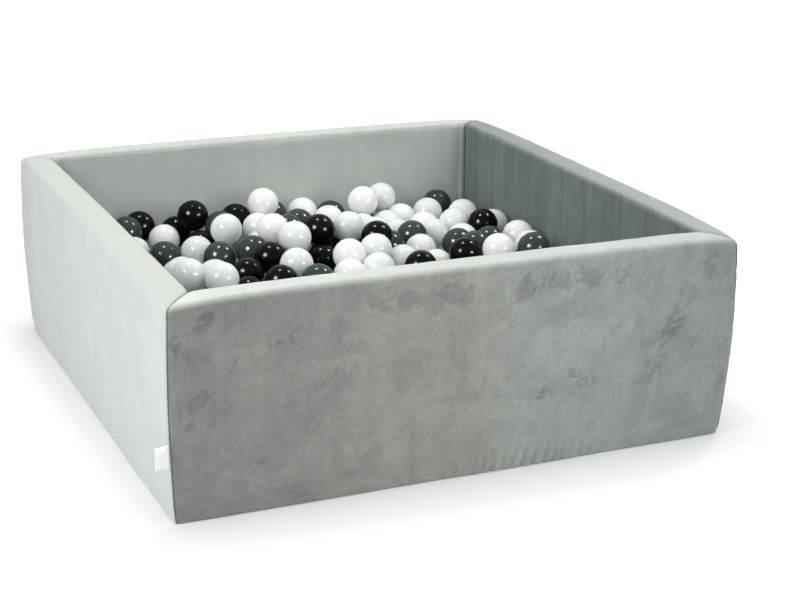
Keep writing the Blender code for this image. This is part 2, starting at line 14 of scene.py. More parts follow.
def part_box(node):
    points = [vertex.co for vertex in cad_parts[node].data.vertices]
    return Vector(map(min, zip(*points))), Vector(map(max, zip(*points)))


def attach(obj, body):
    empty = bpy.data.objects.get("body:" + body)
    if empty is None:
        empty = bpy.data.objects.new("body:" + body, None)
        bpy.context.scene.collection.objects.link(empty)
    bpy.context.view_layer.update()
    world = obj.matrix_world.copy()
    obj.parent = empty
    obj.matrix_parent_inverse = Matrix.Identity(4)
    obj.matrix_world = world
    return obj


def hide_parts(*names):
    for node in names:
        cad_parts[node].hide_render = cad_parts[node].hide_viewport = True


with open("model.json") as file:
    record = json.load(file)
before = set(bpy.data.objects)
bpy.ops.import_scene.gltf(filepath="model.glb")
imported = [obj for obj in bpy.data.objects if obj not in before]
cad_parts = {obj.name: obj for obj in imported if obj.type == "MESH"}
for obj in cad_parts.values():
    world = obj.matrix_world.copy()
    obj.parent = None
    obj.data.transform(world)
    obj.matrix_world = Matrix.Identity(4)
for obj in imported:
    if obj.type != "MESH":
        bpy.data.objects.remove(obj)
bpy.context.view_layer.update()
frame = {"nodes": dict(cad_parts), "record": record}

# Walls, as in the part's source
PIT_SIDE = 1.100
RIM_HEIGHT = 0.398
WALL_THICKNESS = 0.0596
WALL_FOOT = 0.0033
WALL_HEIGHT = RIM_HEIGHT - WALL_FOOT
EDGE_RADIUS = 0.012
BOTTOM_TUCK = 0.0066
SIDE_BOW = 0.006
OUTER_CORNER_DROP = 0.010
INNER_CORNER_DROP = 0.003
CORNER_DROP_POWER = 6
INNER_HALF = PIT_SIDE / 2 - WALL_THICKNESS
WALL_TURNS = {"front": 0, "right": 1, "back": 2, "left": 3}

# Fineness and folds of the velvet
WALL_COLUMNS = 300
CROWDING = 0.75             # how much closer the columns stand towards the seams
OUTER_ROWS = 56
ARC_ROWS = 8
TOP_ROWS = 12
INNER_ROWS = 40
FOOT_ROWS = 4
FOOT_ARC_ROWS = 4
FOOT_ARC = math.radians(80)
SHARP_ANGLE = math.radians(70)
OUTER_TO = 0.9              # zone values where a wall's outer face ends
INNER_FROM = 1.5            # and its inner one starts
FOOT_RADIUS = 0.0032        # where the velvet turns in under the pit
FOOT_REACH = 0.014          # as far as it covers the base's edge
FOOT_CLEARANCE = 0.0006
TUCK_HEIGHT = 0.030         # up to which the lower corners are rounded off
TUCK_WIDTH = 0.016
CORNER_TUCKS = {            # how far, at a wall's first and last end
    "front": (0.0010, 0.0030),
    "right": (0.0030, 0.0030),
    "back": (0.0030, 0.0080),
    "left": (0.0080, 0.0010),
}
SEAM_GAP = 0.0003           # from a wall's end to the mitre plane
SEAM_DEPTH = 0.0026         # how deep the velvet sinks into a seam
SEAM_WIDTH = 0.0050
SEAM_SHOULDER = 0.0010      # the slower fall beside it
SHOULDER_WIDTH = 0.022
PUCKER_DEPTH = 0.0008
PUCKER_REACH = 0.030
SWELL_DEPTH = 0.0015        # broad unevenness of the foam
SWELL_SCALE = 5.0
RIPPLE_DEPTH = 0.0006
RIPPLE_SCALE = 18.0
FURROW_SCALES = (40, 5)     # along a wall and up it
FURROW_SHARES = (0.4, 1.2)  # of the ripples' depth, outside and inside
PUCKER_SCALES = (70, 20)    # up a wall and away from its seam
SIDE_SEED = 7.3             # sets each wall's noise apart
RIM_CROWN = 0.0012
GATHER_DEPTH = 0.0026       # short upright folds at the front wall's foot
GATHER_MIDDLE = 0.11
GATHER_HALF = 0.19
GATHER_LENGTH = 0.020
GATHER_HEIGHT = 0.040
GATHER_LEAN = 0.25
GATHER_WAVER = 3.0          # radians by which noise shifts them
GATHER_WAVER_SCALE = 14
GATHER_SHADE = 0.13         # painted shade in their valleys and painted light on their ridges
CREASE_DEPTH = 0.0009       # slanting creases under the front wall's rim
CREASE_MIDDLE = 0.24
CREASE_HALF = 0.20
CREASE_LENGTH = 0.016
CREASE_HEIGHT = 0.030
CREASE_LEAN = 0.9
CREASE_WAVER = 2.2          # of their length, by which noise shifts them
CREASE_WAVER_SCALE = 22
WAVE_PERIOD = 0.314         # metres, of a wave texture at scale 1
FLAT_BELOW = 0.060          # the back wall stays even round its zip
DENT_DEPTH = 0.0015         # where the pull lies past the zip's open end
DENT_PLACE = 0.408
DENT_HALF_LENGTH = 0.032
DENT_HEIGHT = 0.0327
DENT_HALF_HEIGHT = 0.010

# Colour of the pile on a wall's outer face, rim and inner face, with painted light and shade in
# it, as light falls from the left and above: the rims and the left wall's outer face lighter,
# the inner faces, most of all the right one, darker; how mottled each is, and how much upright
# streaks show on it
PILE_WITH_PAINTED_LIGHT = {
    "front": ((0.255, 0.276, 0.248), (0.515, 0.545, 0.508), (0.330, 0.355, 0.330)),
    "right": ((0.270, 0.295, 0.270), (0.345, 0.378, 0.358), (0.138, 0.174, 0.157)),
    "back": ((0.270, 0.295, 0.270), (0.570, 0.600, 0.560), (0.460, 0.495, 0.454)),
    "left": ((0.575, 0.610, 0.573), (0.560, 0.590, 0.552), (0.300, 0.325, 0.300)),
}
# Share of the rim's colour at its first and last end, and the painted light by which the pile of
# an inner face grows lighter downwards
RIM_SHARES = {"front": (1.28, 0.93), "right": (1.00, 0.66), "back": (1.0, 1.0), "left": (1.0, 1.0)}
INNER_RISE = {"front": 0.10, "right": 0.14, "back": 0.30, "left": 0.10}
INNER_RISE_DEPTH = 0.17
MOTTLE = {
    "front": (1.0, 0.35, 0.6),
    "right": (1.0, 0.35, 0.7),
    "back": (1.0, 0.35, 0.30),
    "left": (0.26, 0.12, 0.6),
}
STREAKS = {
    "front": (0.25, 0.2, 0.6),
    "right": (0.25, 0.2, 1.0),
    "back": (0.25, 0.2, 0.10),
    "left": (0.05, 0.0, 0.6),
}

# How much lighter or darker a wall's outer face is from its first to its last end
BRUSHED_ENDS = (-0.55, -0.40, -0.15, 0.08, 0.32, 0.45, 0.55)
BRUSHED_SHARES = {
    "front": (0.82, 0.84, 0.97, 1.09, 1.02, 0.89, 0.84),
    "right": (0.95, 1.00, 1.08, 1.00, 0.94, 1.02, 1.00),
    "back": (1.00, 1.06, 0.96, 1.00, 1.06, 0.95, 0.92),
    "left": (0.82, 0.93, 0.97, 1.00, 1.02, 1.03, 1.04),
}

# Where the pile of the near wall is crushed and so darker: place along it, height, half
# length, half width, degrees from upright, and how strongly
CRUSHED = (
    (-0.490, 0.352, 0.030, 0.017, 35, 0.95), (-0.536, 0.322, 0.026, 0.010, 0, 0.80),
    (-0.498, 0.222, 0.028, 0.016, 40, 0.90), (-0.440, 0.268, 0.024, 0.014, 30, 0.65),
    (-0.512, 0.180, 0.014, 0.026, -20, 0.55), (-0.392, 0.098, 0.016, 0.012, 0, 0.75),
    (-0.470, 0.118, 0.020, 0.012, 30, 0.55), (-0.350, 0.305, 0.060, 0.026, 40, 0.50),
    (-0.270, 0.235, 0.050, 0.018, 38, 0.42), (-0.330, 0.190, 0.055, 0.020, 42, 0.40),
    (-0.288, 0.150, 0.018, 0.005, -35, 0.85), (-0.288, 0.317, 0.012, 0.005, 15, 0.85),
    (-0.150, 0.352, 0.024, 0.060, 8, 0.90), (-0.075, 0.345, 0.030, 0.030, 25, 0.80),
    (-0.028, 0.350, 0.028, 0.040, 15, 1.00), (0.104, 0.347, 0.030, 0.030, 35, 1.00),
    (0.170, 0.352, 0.022, 0.040, 20, 0.90), (0.232, 0.352, 0.022, 0.036, 20, 0.90),
    (0.300, 0.350, 0.024, 0.022, 35, 0.60), (0.228, 0.158, 0.026, 0.052, 25, 0.62),
    (0.150, 0.140, 0.016, 0.022, 30, 0.70), (0.052, 0.046, 0.024, 0.006, 0, 0.80),
    (0.425, 0.265, 0.085, 0.026, 25, 0.80), (0.378, 0.165, 0.065, 0.022, 30, 0.65),
    (0.500, 0.345, 0.040, 0.046, 10, 0.70), (0.525, 0.130, 0.080, 0.018, 5, 0.65),
    (0.455, 0.110, 0.050, 0.016, 30, 0.45), (0.470, 0.215, 0.060, 0.012, 22, 0.55),
)
# and where it stands up and so is lighter, with how much
LIFTED = (
    (0.070, 0.345, 0.024, 0.006, 5, 0.15), (0.060, 0.230, 0.090, 0.045, 20, 0.06),
    (0.290, 0.245, 0.060, 0.050, 30, 0.05), (0.180, 0.080, 0.050, 0.060, 20, 0.05),
    (-0.140, 0.110, 0.060, 0.070, 30, 0.04), (0.352, 0.300, 0.050, 0.012, 28, 0.06),
)
MARK_WOBBLE = 0.35          # how uneven a mark's outline is
MARK_WOBBLE_SCALE = 32.0
BRUSH_TILT = math.radians(32)   # of the fine strokes all over the velvet
MARK_CORE = 0.5             # share of a mark that has its full tone
MARK_FADE = 0.75            # and the share over which it fades
CRUSH_SHADE = 0.22          # how much darker crushed pile is
CRUSH_RAGGED = 0.75         # how far noise shifts the edge of a mark
CRUSH_EDGE = (0.50, 0.82)   # between which a mark sets in
COOLER = (-0.035, 0.0, 0.030)   # change of the near wall's colour towards its right end

# Share of the pile's colour away from a seam, on the outer and the inner faces: darker in the seam,
# from pile pressed in and painted shade, and on inner faces painted light and shade of the soft
# folds beside it
OUTER_SEAM = (0.0, 0.0012, 0.0030, 0.0060)
OUTER_SEAM_SHARES = {
    "front": (0.42, 0.55, 0.92, 1.0),
    "right": (0.50, 0.62, 0.95, 1.0),
    "back": (0.50, 0.62, 0.95, 1.0),
    "left": (0.55, 0.75, 0.95, 1.0),
}
INNER_SEAM = (0.0, 0.003, 0.006, 0.011, 0.017, 0.030, 0.045)
INNER_SEAM_SHARES = {
    "front": (0.55, 0.65, 0.96, 1.02, 0.92, 0.96, 1.0),
    "right": (0.50, 0.75, 1.30, 1.22, 0.82, 0.92, 1.0),
    "back": (0.50, 0.60, 1.04, 1.08, 0.84, 0.92, 1.0),
    "left": (0.55, 0.65, 0.96, 1.02, 0.92, 0.96, 1.0),
}

# Balls, as in the part's source
BALL_DIAMETER = 0.070
BALL_RADIUS = BALL_DIAMETER / 2
BALL_CORNER_SHARE = 1.05
GAP = 0.0003
BED_HEIGHT = 0.203
BED_DIP = 0.001
LAYER_RISE = 0.0099
LAYER_SWELL = 0.006
SWELL_LENGTH_X = 0.861
SWELL_LENGTH_Y = 1.030
SWELL_PHASES = (1.0, 0.4)
FILLER_RISE = 0.029
FILLER_SPOTS = 20000
FILLER_SEED = 11
SNUG_SHARE = 0.3
LEVEL_SLOPE = 1e-4
LAYER_HEIGHT = BED_HEIGHT + LAYER_RISE
HIGHEST_FILLER = BED_HEIGHT + FILLER_RISE
SHOWN_BALL_SHARES = (
    (0.61, 0.61, "w"), (-0.05, 0.78, "k"), (0.19, 0.52, "g"), (0.57, 0.78, "w"),
    (0.73, 0.54, "p"), (0.06, 0.65, "w"), (-0.48, 0.91, "k"), (0.72, 0.81, "p"),
    (0.38, 0.82, "g"), (0.26, 0.89, "g"), (0.86, 0.72, "w"), (0.69, 0.37, "w"),
    (0.46, 0.69, "p"), (-0.63, 0.33, "w"), (-0.44, 0.66, "k"), (-0.02, 0.91, "g"),
    (0.45, 0.55, "p"), (0.59, 0.47, "p"), (0.61, 0.25, "g"), (-0.57, 0.79, "w"),
    (-0.64, 0.55, "g"), (-0.33, 0.72, "G"), (-0.02, 0.28, "k"), (0.06, 0.43, "k"),
    (0.20, 0.76, "w"), (0.12, 0.89, "w"), (0.40, 0.02, "w"), (-0.16, 0.71, "w"),
    (0.46, 0.41, "g"), (-0.22, 0.84, "K"), (-0.45, -0.01, "k"), (0.82, 0.92, "g"),
    (-0.51, 0.25, "p"), (0.70, 0.03, "k"), (-0.65, 0.90, "K"), (-0.45, 0.37, "g"),
    (0.44, 0.27, "w"), (-0.50, 0.53, "p"), (0.78, -0.09, "k"), (0.92, 0.30, "k"),
    (-0.74, 0.79, "G"), (0.92, 0.52, "p"), (0.58, 0.01, "G"), (0.48, -0.09, "K"),
    (-0.57, -0.03, "P"), (0.29, -0.06, "k"), (-0.33, -0.06, "k"), (0.82, 0.43, "k"),
    (0.85, 0.03, "w"), (-0.19, -0.11, "g"), (-0.68, 0.06, "P"), (0.87, 0.18, "w"),
    (-0.02, 0.57, "G"), (-0.23, 0.03, "P"), (-0.43, 0.81, "K"), (-0.05, -0.11, "W"),
    (-0.35, 0.58, "P"), (-0.11, 0.46, "G"), (0.36, 0.74, "W"), (0.27, 0.08, "p"),
    (-0.41, 0.12, "k"), (0.09, -0.08, "P"), (0.14, 0.07, "P"), (0.00, 0.37, "K"),
    (0.51, 0.88, "P"), (0.15, 0.40, "P"), (0.20, 0.20, "K"), (-0.29, 0.18, "K"),
    (0.30, 0.45, "w"), (-0.10, 0.81, "W"), (0.60, -0.16, "W"), (-0.32, 0.32, "G"),
    (0.00, 0.02, "W"), (-0.21, 0.37, "W"), (-0.17, 0.21, "P"), (0.74, -0.21, "G"),
)
TONES = {"k": "black", "g": "graphite", "w": "white", "p": "pearl"}

# The balls' fine shape, and those under the top layer
SHELL_RADIUS = 0.0341       # as far as neighbours leave room
SHELL_SEGMENTS = 32
SHELL_RINGS = (             # degrees from its parting line
    -90, -86, -82, -72, -60, -48, -36, -24, -12, -4, -1.5, 0,
    1.5, 4, 12, 24, 36, 48, 60, 72, 82, 86,
)
DEEP_SEGMENTS = 14
DEEP_RINGS = (-90, -66, -44, -22, 0, 22, 44, 66)
SEAM_RIDGE = 0.00018
RIDGE_DEGREES = 1.3         # over which the ridge falls off
VENT_DIP = 0.0006
VENT_RING = 86              # from which the dip starts
DEEP_PITCH = 0.070
DEEP_LAYERS = ((0.0886, 14), (0.1381, 13))
DEEP_SHIFT = 0.0008
TURN_SEED = 5

# Label
LABEL_HEIGHT = 0.043
LABEL_REACH = 0.026
LABEL_RISE = 0.003          # of its middle over the joint
LABEL_CURL = 0.0018
LABEL_FOLD_GAP = 0.0022
LABEL_TURN = math.radians(17)
LABEL_CURL_TURN = 3.6       # radians of its wave from edge to edge
LABEL_CURL_START = 0.6
RIBBON_THICKNESS = 0.0005
LABEL_ROWS = 14
LABEL_STEPS = 8
LABEL_FOLD_STEPS = 10

# Zip
TOOTH_PITCH = 0.0030
TOOTH_RADIUS = 0.00075
STITCH_PITCH = 0.0045
STITCH_LENGTH = 0.0030
STITCH_RADIUS = 0.00035
STITCH_OFFSET = 0.0035      # from the edge of the velvet
TAPE_RIB = 0.0002
TAPE_COLUMNS = 400
TAPE_ROWS = 6
TOOTH_SHIFT_SHARE = 0.22    # of the coil's half height
TOOTH_LENGTH_SHARE = 1.5
TOOTH_SLANT = 0.12
SLOT_MARGINS = (2, 40, 2)   # gaps by which the velvet's slot is larger than the tapes
METAL_ROUNDING = 0.00022

# Mat and base
MAT_ROUNDING = 0.010
MAT_SETTLE = 0.001          # its upper face below the solid's
PIPING_RADIUS = 0.0022
PIPING_INSET = 0.0026
PIPING_DROP = 0.006
PIPING_CORNER = 0.012
PIPING_STEPS = 6
BASE_INSET = 0.0146
BASE_CORNER = 0.036

# Light
FILL_LIGHT = 0.84           # the world's strength on the object
FLOOR_SIZE = 14
GLOW_NEAR = 0.05            # what the floor adds where it is seen, beside the pit
GLOW_FAR = 0.60             # and away from it, so that it reads white
GLOW_WIDTH = 0.40
LAMPS = (                   # name, its card's name, place, size and power
    ("softbox_left", "gleam_left", (-2.14, -0.88, 1.73), 1.00, 16),
    ("softbox_right", "gleam_right", (1.23, -2.42, 0.93), 1.00, 8),
    ("spot_left", "glint_left", (-0.23, 0.63, 2.76), 0.42, 8),
    ("spot_right", "glint_right", (1.65, 0.27, 2.24), 0.42, 8),
)
LAMP_TARGET = (0.0, 0.0, 0.25)
CARD_SHARE = 0.9            # a card's size as a share of its lamp's
GLEAM = 110                 # brightness of the cards, which the balls mirror

# Camera
EYE = (-1.2756, -3.0942, 1.2757)
YAW = math.radians(23.580)
PITCH = math.radians(18.324)
ROLL = math.radians(0.724)
LENS = 77.63
SHIFT_X = 0.0191
SENSOR_WIDTH = 36


def link(name, mesh):
    """A new object in the scene."""
    piece = bpy.data.objects.new(name, mesh)
    bpy.context.scene.collection.objects.link(piece)
    return piece


def mesh_of(name, points, faces):
    mesh = bpy.data.meshes.new(name)
    mesh.from_pydata([tuple(point) for point in points], [], faces)
    mesh.update()
    return mesh


def face_outward(mesh):
    bm = bmesh.new()
    bm.from_mesh(mesh)
    bmesh.ops.recalc_face_normals(bm, faces=bm.faces)
    bm.to_mesh(mesh)
    bm.free()


def mesh_from(name, bm):
    mesh = bpy.data.meshes.new(name)
    bm.to_mesh(mesh)
    bm.free()
    return mesh


def block(low, high, spare=(0, 0, 0)):
    """A box between two corners, larger by spare in all."""
    bm = bmesh.new()
    bmesh.ops.create_cube(bm, size=1)
    size, middle = high - low + Vector(spare), (low + high) / 2
    for vert in bm.verts:
        vert.co = Vector(c * s for c, s in zip(vert.co, size)) + middle
    return bm


def quads(first, second, count, closed=True):
    """Faces between two rows of points, each row given by the number of its first point."""
    faces = []
    for place in range(count if closed else count - 1):
        after = (place + 1) % count
        faces.append((first + place, first + after, second + after, second + place))
    return faces


class Shader:
    """A Principled material with a short way to add and join nodes."""

    def __init__(self, name, colour, roughness, metallic=0.0):
        self.material = bpy.data.materials.new(name)
        self.material.use_nodes = True
        self.tree = self.material.node_tree
        self.main = self.tree.nodes["Principled BSDF"]
        self.colour = colour
        self.set("Base Color", (*colour, 1))
        self.set("Roughness", roughness)
        self.set("Metallic", metallic)
        self.material.diffuse_color = (*colour, 1)

    def feed(self, target, value):
        """A value for a socket, or a link to it from another."""
        if isinstance(value, bpy.types.NodeSocket):
            self.tree.links.new(value, target)
        else:
            target.default_value = value

    def set(self, socket, value):
        self.feed(self.main.inputs[socket], value)

    def node(self, kind, inputs=(), **values):
        """A new node with its settings, and what its inputs are fed."""
        node = self.tree.nodes.new(kind)
        for key, value in values.items():
            setattr(node, key, value)
        for key, value in dict(inputs).items():
            self.feed(node.inputs[key], value)
        return node

    def position(self):
        return self.node("ShaderNodeTexCoord").outputs["Object"]

    def painted(self, name, output="Fac"):
        """A value or colour that is painted on the mesh."""
        return self.node("ShaderNodeAttribute", attribute_name=name).outputs[output]

    def stretched(self, scale, tilt=0.0):
        """The place scaled along each axis, after a tilt of the upright axis on every wall."""
        inputs = {"Vector": self.position(), "Rotation": (-tilt, tilt, 0)}
        inputs["Scale"] = [1 / value for value in scale]
        return self.node("ShaderNodeMapping", inputs, vector_type="TEXTURE").outputs["Vector"]

    def noise(self, vector, scale, detail, roughness=0.5, distortion=0.0):
        inputs = {"Vector": vector, "Scale": scale, "Detail": detail}
        inputs |= {"Roughness": roughness, "Distortion": distortion}
        return self.node("ShaderNodeTexNoise", inputs).outputs["Fac"]

    def between(self, value, low, high, start=0.25, end=0.75):
        """value from start to end brought to low to high."""
        inputs = {"Value": value, "From Min": start, "From Max": end, "To Min": low, "To Max": high}
        return self.node("ShaderNodeMapRange", inputs).outputs["Result"]

    def maths(self, operation, first, second):
        inputs = {0: first, 1: second}
        return self.node("ShaderNodeMath", inputs, operation=operation).outputs["Value"]

    def tinted(self, factor, colour=None):
        """The material's colour, or one from a socket, times a value."""
        inputs = {0: self.colour if colour is None else colour, "Scale": factor}
        node = self.node("ShaderNodeVectorMath", inputs, operation="SCALE")
        self.set("Base Color", node.outputs["Vector"])

    def bump(self, height, distance, strength=1.0):
        inputs = {"Height": height, "Distance": distance, "Strength": strength}
        self.set("Normal", self.node("ShaderNodeBump", inputs).outputs["Normal"])


def velvet():
    """Crushed pile: colour with painted light and shade from the mesh, blotches, brush strokes from
    noise.
    """
    made = Shader("velvet", (0.4, 0.43, 0.4), 0.88)
    made.set("Sheen Weight", 0.25)
    made.set("Sheen Roughness", 0.45)
    made.set("Sheen Tint", (0.9, 0.94, 0.9, 1))
    made.set("Specular IOR Level", 0.15)
    place = made.position()
    blotch = made.between(made.noise(place, 9.0, 8.0, 0.66, 0.9), -0.23, 0.25)
    slanting = made.stretched((75, 75, 22), BRUSH_TILT)
    stroke = made.between(made.noise(slanting, 1.0, 6.0, 0.62, 1.6), -0.12, 0.12)
    fleck = made.between(made.noise(place, 60.0, 5.0, 0.72, 1.2), -0.09, 0.09)
    pattern = made.maths("ADD", made.maths("ADD", blotch, stroke), fleck)
    amount = made.painted("mottle")
    upright = made.noise(made.stretched((34, 34, 2.5)), 1.0, 5.0, 0.6, 0.3)
    streak = made.maths("MULTIPLY", made.between(upright, -0.26, 0.26), made.painted("streaks"))
    fuzz = made.between(made.noise(place, 700.0, 2.0, 0.6), -0.05, 0.05)
    shade = made.maths("ADD", made.maths("MULTIPLY", pattern, amount), streak)
    shade = made.maths("ADD", shade, fuzz)
    ragged = made.noise(made.stretched((52, 52, 20), BRUSH_TILT), 1.0, 5.0, 0.6, 1.4)
    ragged = made.between(ragged, -CRUSH_RAGGED, CRUSH_RAGGED)
    edge = made.maths("ADD", made.painted("crushed"), ragged)
    crushed = made.between(edge, 0.0, CRUSH_SHADE, *CRUSH_EDGE)
    shade = made.maths("SUBTRACT", shade, made.maths("MULTIPLY", crushed, amount))
    # the mesh's pile colour holds painted light and shade
    made.tinted(made.maths("ADD", shade, 1.0), made.painted("pile", "Color"))
    rough = made.noise(place, 90.0, 6.0, 0.7, 0.8)
    made.bump(made.maths("ADD", rough, made.noise(place, 900.0, 2.0)), 0.0012, 0.35)
    return made.material


def weave(name, colour, roughness, pitch):
    """A plain woven cloth with threads at that pitch."""
    made = Shader(name, colour, roughness)
    made.set("Sheen Weight", 0.1)
    made.set("Specular IOR Level", 0.2)
    bands = []
    for axis in ("X", "Y"):
        inputs = {"Vector": made.position(), "Scale": WAVE_PERIOD / pitch}
        band = made.node("ShaderNodeTexWave", inputs, bands_direction=axis)
        bands.append(band.outputs["Fac"])
    threads = made.maths("MULTIPLY", *bands)
    patch = made.noise(made.position(), 20.0, 4.0, 0.6)
    shade = made.maths("ADD", made.between(patch, 0.88, 1.08), made.between(threads, -0.08, 0.08))
    made.tinted(shade)
    made.bump(threads, pitch / 3, 0.5)
    return made.material


def grippy():
    """Woven underside with rows of small rubber dots."""
    made = Shader("grip_cloth", (0.20, 0.21, 0.21), 0.8)
    inputs = {"Vector": made.position(), "Scale": 110.0, "Randomness": 0.0}
    cells = made.node("ShaderNodeTexVoronoi", inputs, feature="F1")
    dot = made.maths("LESS_THAN", cells.outputs["Distance"], 0.3)
    patch = made.noise(made.position(), 30.0, 4.0, 0.6)
    shade = made.maths("SUBTRACT", made.between(patch, 0.85, 1.1), made.maths("MULTIPLY", dot, 0.5))
    made.tinted(shade)
    made.bump(dot, 0.0004, 0.6)
    return made.material


def glossy_plastic(name, colour, roughness, sheen, glow_through=0.0):
    """Blow-moulded plastic with a faint unevenness, which lets some light through if pale."""
    made = Shader(name, colour, roughness)
    made.set("IOR", 1.5)
    made.set("Specular IOR Level", sheen)
    made.set("Subsurface Weight", glow_through)
    made.set("Subsurface Radius", (1.0, 1.0, 1.0))
    made.set("Subsurface Scale", BALL_RADIUS)
    place = made.position()
    made.tinted(made.between(made.noise(place, 30.0, 3.0, 0.5), 0.97, 1.02))
    rough = made.between(made.noise(place, 60.0, 5.0, 0.7), roughness * 0.8, roughness * 1.3)
    made.set("Roughness", rough)
    made.bump(made.noise(place, 22.0, 2.0), 0.0006, 0.12)
    return made.material


def satin_metal():
    made = Shader("zinc", (0.52, 0.52, 0.50), 0.32, 1.0)
    place = made.stretched((400, 1200, 1200))
    made.tinted(made.between(made.noise(place, 1.0, 3.0), 0.9, 1.05))
    rough = made.between(made.noise(made.position(), 900.0, 4.0), 0.25, 0.42)
    made.set("Roughness", rough)
    return made.material


def moulded_nylon():
    made = Shader("nylon", (0.38, 0.40, 0.38), 0.45)
    place = made.position()
    made.tinted(made.between(made.noise(place, 500.0, 3.0), 0.9, 1.06))
    made.bump(made.noise(place, 1500.0, 2.0), 0.0001, 0.4)
    return made.material


def satin_ribbon():
    """White ribbon with fine cross ribs."""
    made = Shader("ribbon", (0.86, 0.87, 0.88), 0.45)
    made.set("Sheen Weight", 0.15)
    inputs = {"Vector": made.position(), "Scale": 260.0}
    ribs = made.node("ShaderNodeTexWave", inputs, bands_direction="Z")
    patch = made.noise(made.position(), 60.0, 3.0)
    rib = made.between(ribs.outputs["Fac"], -0.02, 0.02)
    made.tinted(made.maths("ADD", made.between(patch, 0.94, 1.02), rib))
    made.bump(ribs.outputs["Fac"], 0.0002, 0.4)
    return made.material


def thread():
    made = Shader("thread", (0.42, 0.45, 0.42), 0.6)
    twist = made.noise(made.stretched((2500, 900, 900)), 1.0, 2.0)
    made.tinted(made.between(twist, 0.85, 1.1))
    return made.material


def lean(height):
    """How far a wall's outer face stands in from the nominal side at a height over its foot."""
    share = height / WALL_HEIGHT
    return BOTTOM_TUCK * (1 - share) - SIDE_BOW * 4 * share * (1 - share)


def wall_path():
    """Points round a wall's section: depth, height, the outward direction and a zone value.

    The zone goes from 0 on the outer face over 1 on the rim to 2 on the inner face.
    """
    radius = EDGE_RADIUS
    spring = WALL_HEIGHT - radius
    bottom = FOOT_CLEARANCE - WALL_FOOT
    rows = []
    start = bottom + FOOT_RADIUS
    for step in range(FOOT_ARC_ROWS):
        a = FOOT_ARC * (1 - step / FOOT_ARC_ROWS)
        depth = FOOT_RADIUS - FOOT_RADIUS * math.cos(a)
        rows.append((depth, start - FOOT_RADIUS * math.sin(a), -math.cos(a), -math.sin(a), 0.0))
    for step in range(OUTER_ROWS):
        rows.append((0.0, start + (spring - start) * step / OUTER_ROWS, -1.0, 0.0, 0.0))
    for step in range(ARC_ROWS):
        share = step / ARC_ROWS
        a = math.radians(90) * share
        depth = radius - radius * math.cos(a)
        rows.append((depth, spring + radius * math.sin(a), -math.cos(a), math.sin(a), share))
    for step in range(TOP_ROWS):
        share = step / TOP_ROWS
        crown = RIM_CROWN * math.sin(math.pi * share)
        depth = radius + (WALL_THICKNESS - 2 * radius) * share
        rows.append((depth, WALL_HEIGHT + crown, 0.0, 1.0, 1.0))
    for step in range(ARC_ROWS):
        share = step / ARC_ROWS
        a = math.radians(90) * share
        depth = WALL_THICKNESS - radius + radius * math.sin(a)
        rows.append((depth, spring + radius * math.cos(a), math.sin(a), math.cos(a), 1.0 + share))
    for step in range(INNER_ROWS):
        rows.append((WALL_THICKNESS, spring * (1 - step / INNER_ROWS), 1.0, 0.0, 2.0))
    for step in range(FOOT_ROWS + 1):
        depth = WALL_THICKNESS + (FOOT_REACH - WALL_THICKNESS) * step / FOOT_ROWS
        rows.append((depth, 0.0, 0.0, -1.0, 2.0 if step < FOOT_ROWS / 2 else 0.0))
    rows.append((FOOT_REACH, bottom, 0.0, -1.0, 0.0))
    return rows


def bell(value, middle, half):
    """1 in the middle, falling smoothly to 0 at half a width from it."""
    away = min(abs(value - middle) / half, 1.0)
    return 1 - away * away * (3 - 2 * away)


def gathered(side, along, height, zone):
    """From -1 in a valley to 1 on a ridge of the folds at the near wall's foot."""
    if side != "front" or zone >= OUTER_TO:
        return 0.0
    place = Vector((along, height * 0.2, 2.1)) * GATHER_WAVER_SCALE
    uneven = GATHER_WAVER * noise.noise(place)
    wave = math.sin(math.tau * (along - GATHER_LEAN * height) / GATHER_LENGTH + uneven)
    reach = bell(along, GATHER_MIDDLE, GATHER_HALF) ** 0.5
    return wave * reach * math.exp(-((height / GATHER_HEIGHT) ** 2))


def fold(side, along, height, zone, from_seam):
    """How far the velvet stands out from the plain wall at a point."""
    seed = WALL_TURNS[side] * SIDE_SEED
    inside = zone > INNER_FROM
    place = Vector((along, height + zone * 0.3, seed))
    out = SWELL_DEPTH * noise.noise(place * SWELL_SCALE)
    out += RIPPLE_DEPTH * noise.noise(place * RIPPLE_SCALE)
    stretched = Vector((along * FURROW_SCALES[0], height * FURROW_SCALES[1], seed + zone))
    out += RIPPLE_DEPTH * noise.noise(stretched) * FURROW_SHARES[inside]
    if inside:
        out -= SWELL_DEPTH
    up, away = height * PUCKER_SCALES[0], from_seam * PUCKER_SCALES[1]
    pucker = noise.noise(Vector((up + zone * 9, seed, away)))
    out += PUCKER_DEPTH * pucker * math.exp(-from_seam / PUCKER_REACH)
    out += GATHER_DEPTH * gathered(side, along, height, zone)
    if side == "front" and zone < OUTER_TO:
        below = WALL_HEIGHT - height
        slant = (along + CREASE_LEAN * below) / CREASE_LENGTH
        slant += CREASE_WAVER * noise.noise(place * CREASE_WAVER_SCALE)
        crease = math.sin(math.tau * slant) * bell(along, CREASE_MIDDLE, CREASE_HALF)
        out += CREASE_DEPTH * crease * bell(below, CREASE_HEIGHT, CREASE_HEIGHT)
    if side == "back" and zone < 0.5:
        out *= min(max((height - FLAT_BELOW) / FLAT_BELOW, 0.0), 1.0)
        level = bell(height, DENT_HEIGHT, DENT_HALF_HEIGHT)
        out -= DENT_DEPTH * level * bell(-along, DENT_PLACE, DENT_HALF_LENGTH)
    out -= SEAM_DEPTH * math.exp(-((from_seam / SEAM_WIDTH) ** 2))
    out -= SEAM_SHOULDER * math.exp(-from_seam / SHOULDER_WIDTH)
    return out


def mixed(zones, value):
    """Three zone values blended at 0 to 2."""
    index = min(int(value), 1)
    share = value - index
    share = share * share * (3 - 2 * share)
    return np.array(zones[index]) * (1 - share) + np.array(zones[index + 1]) * share


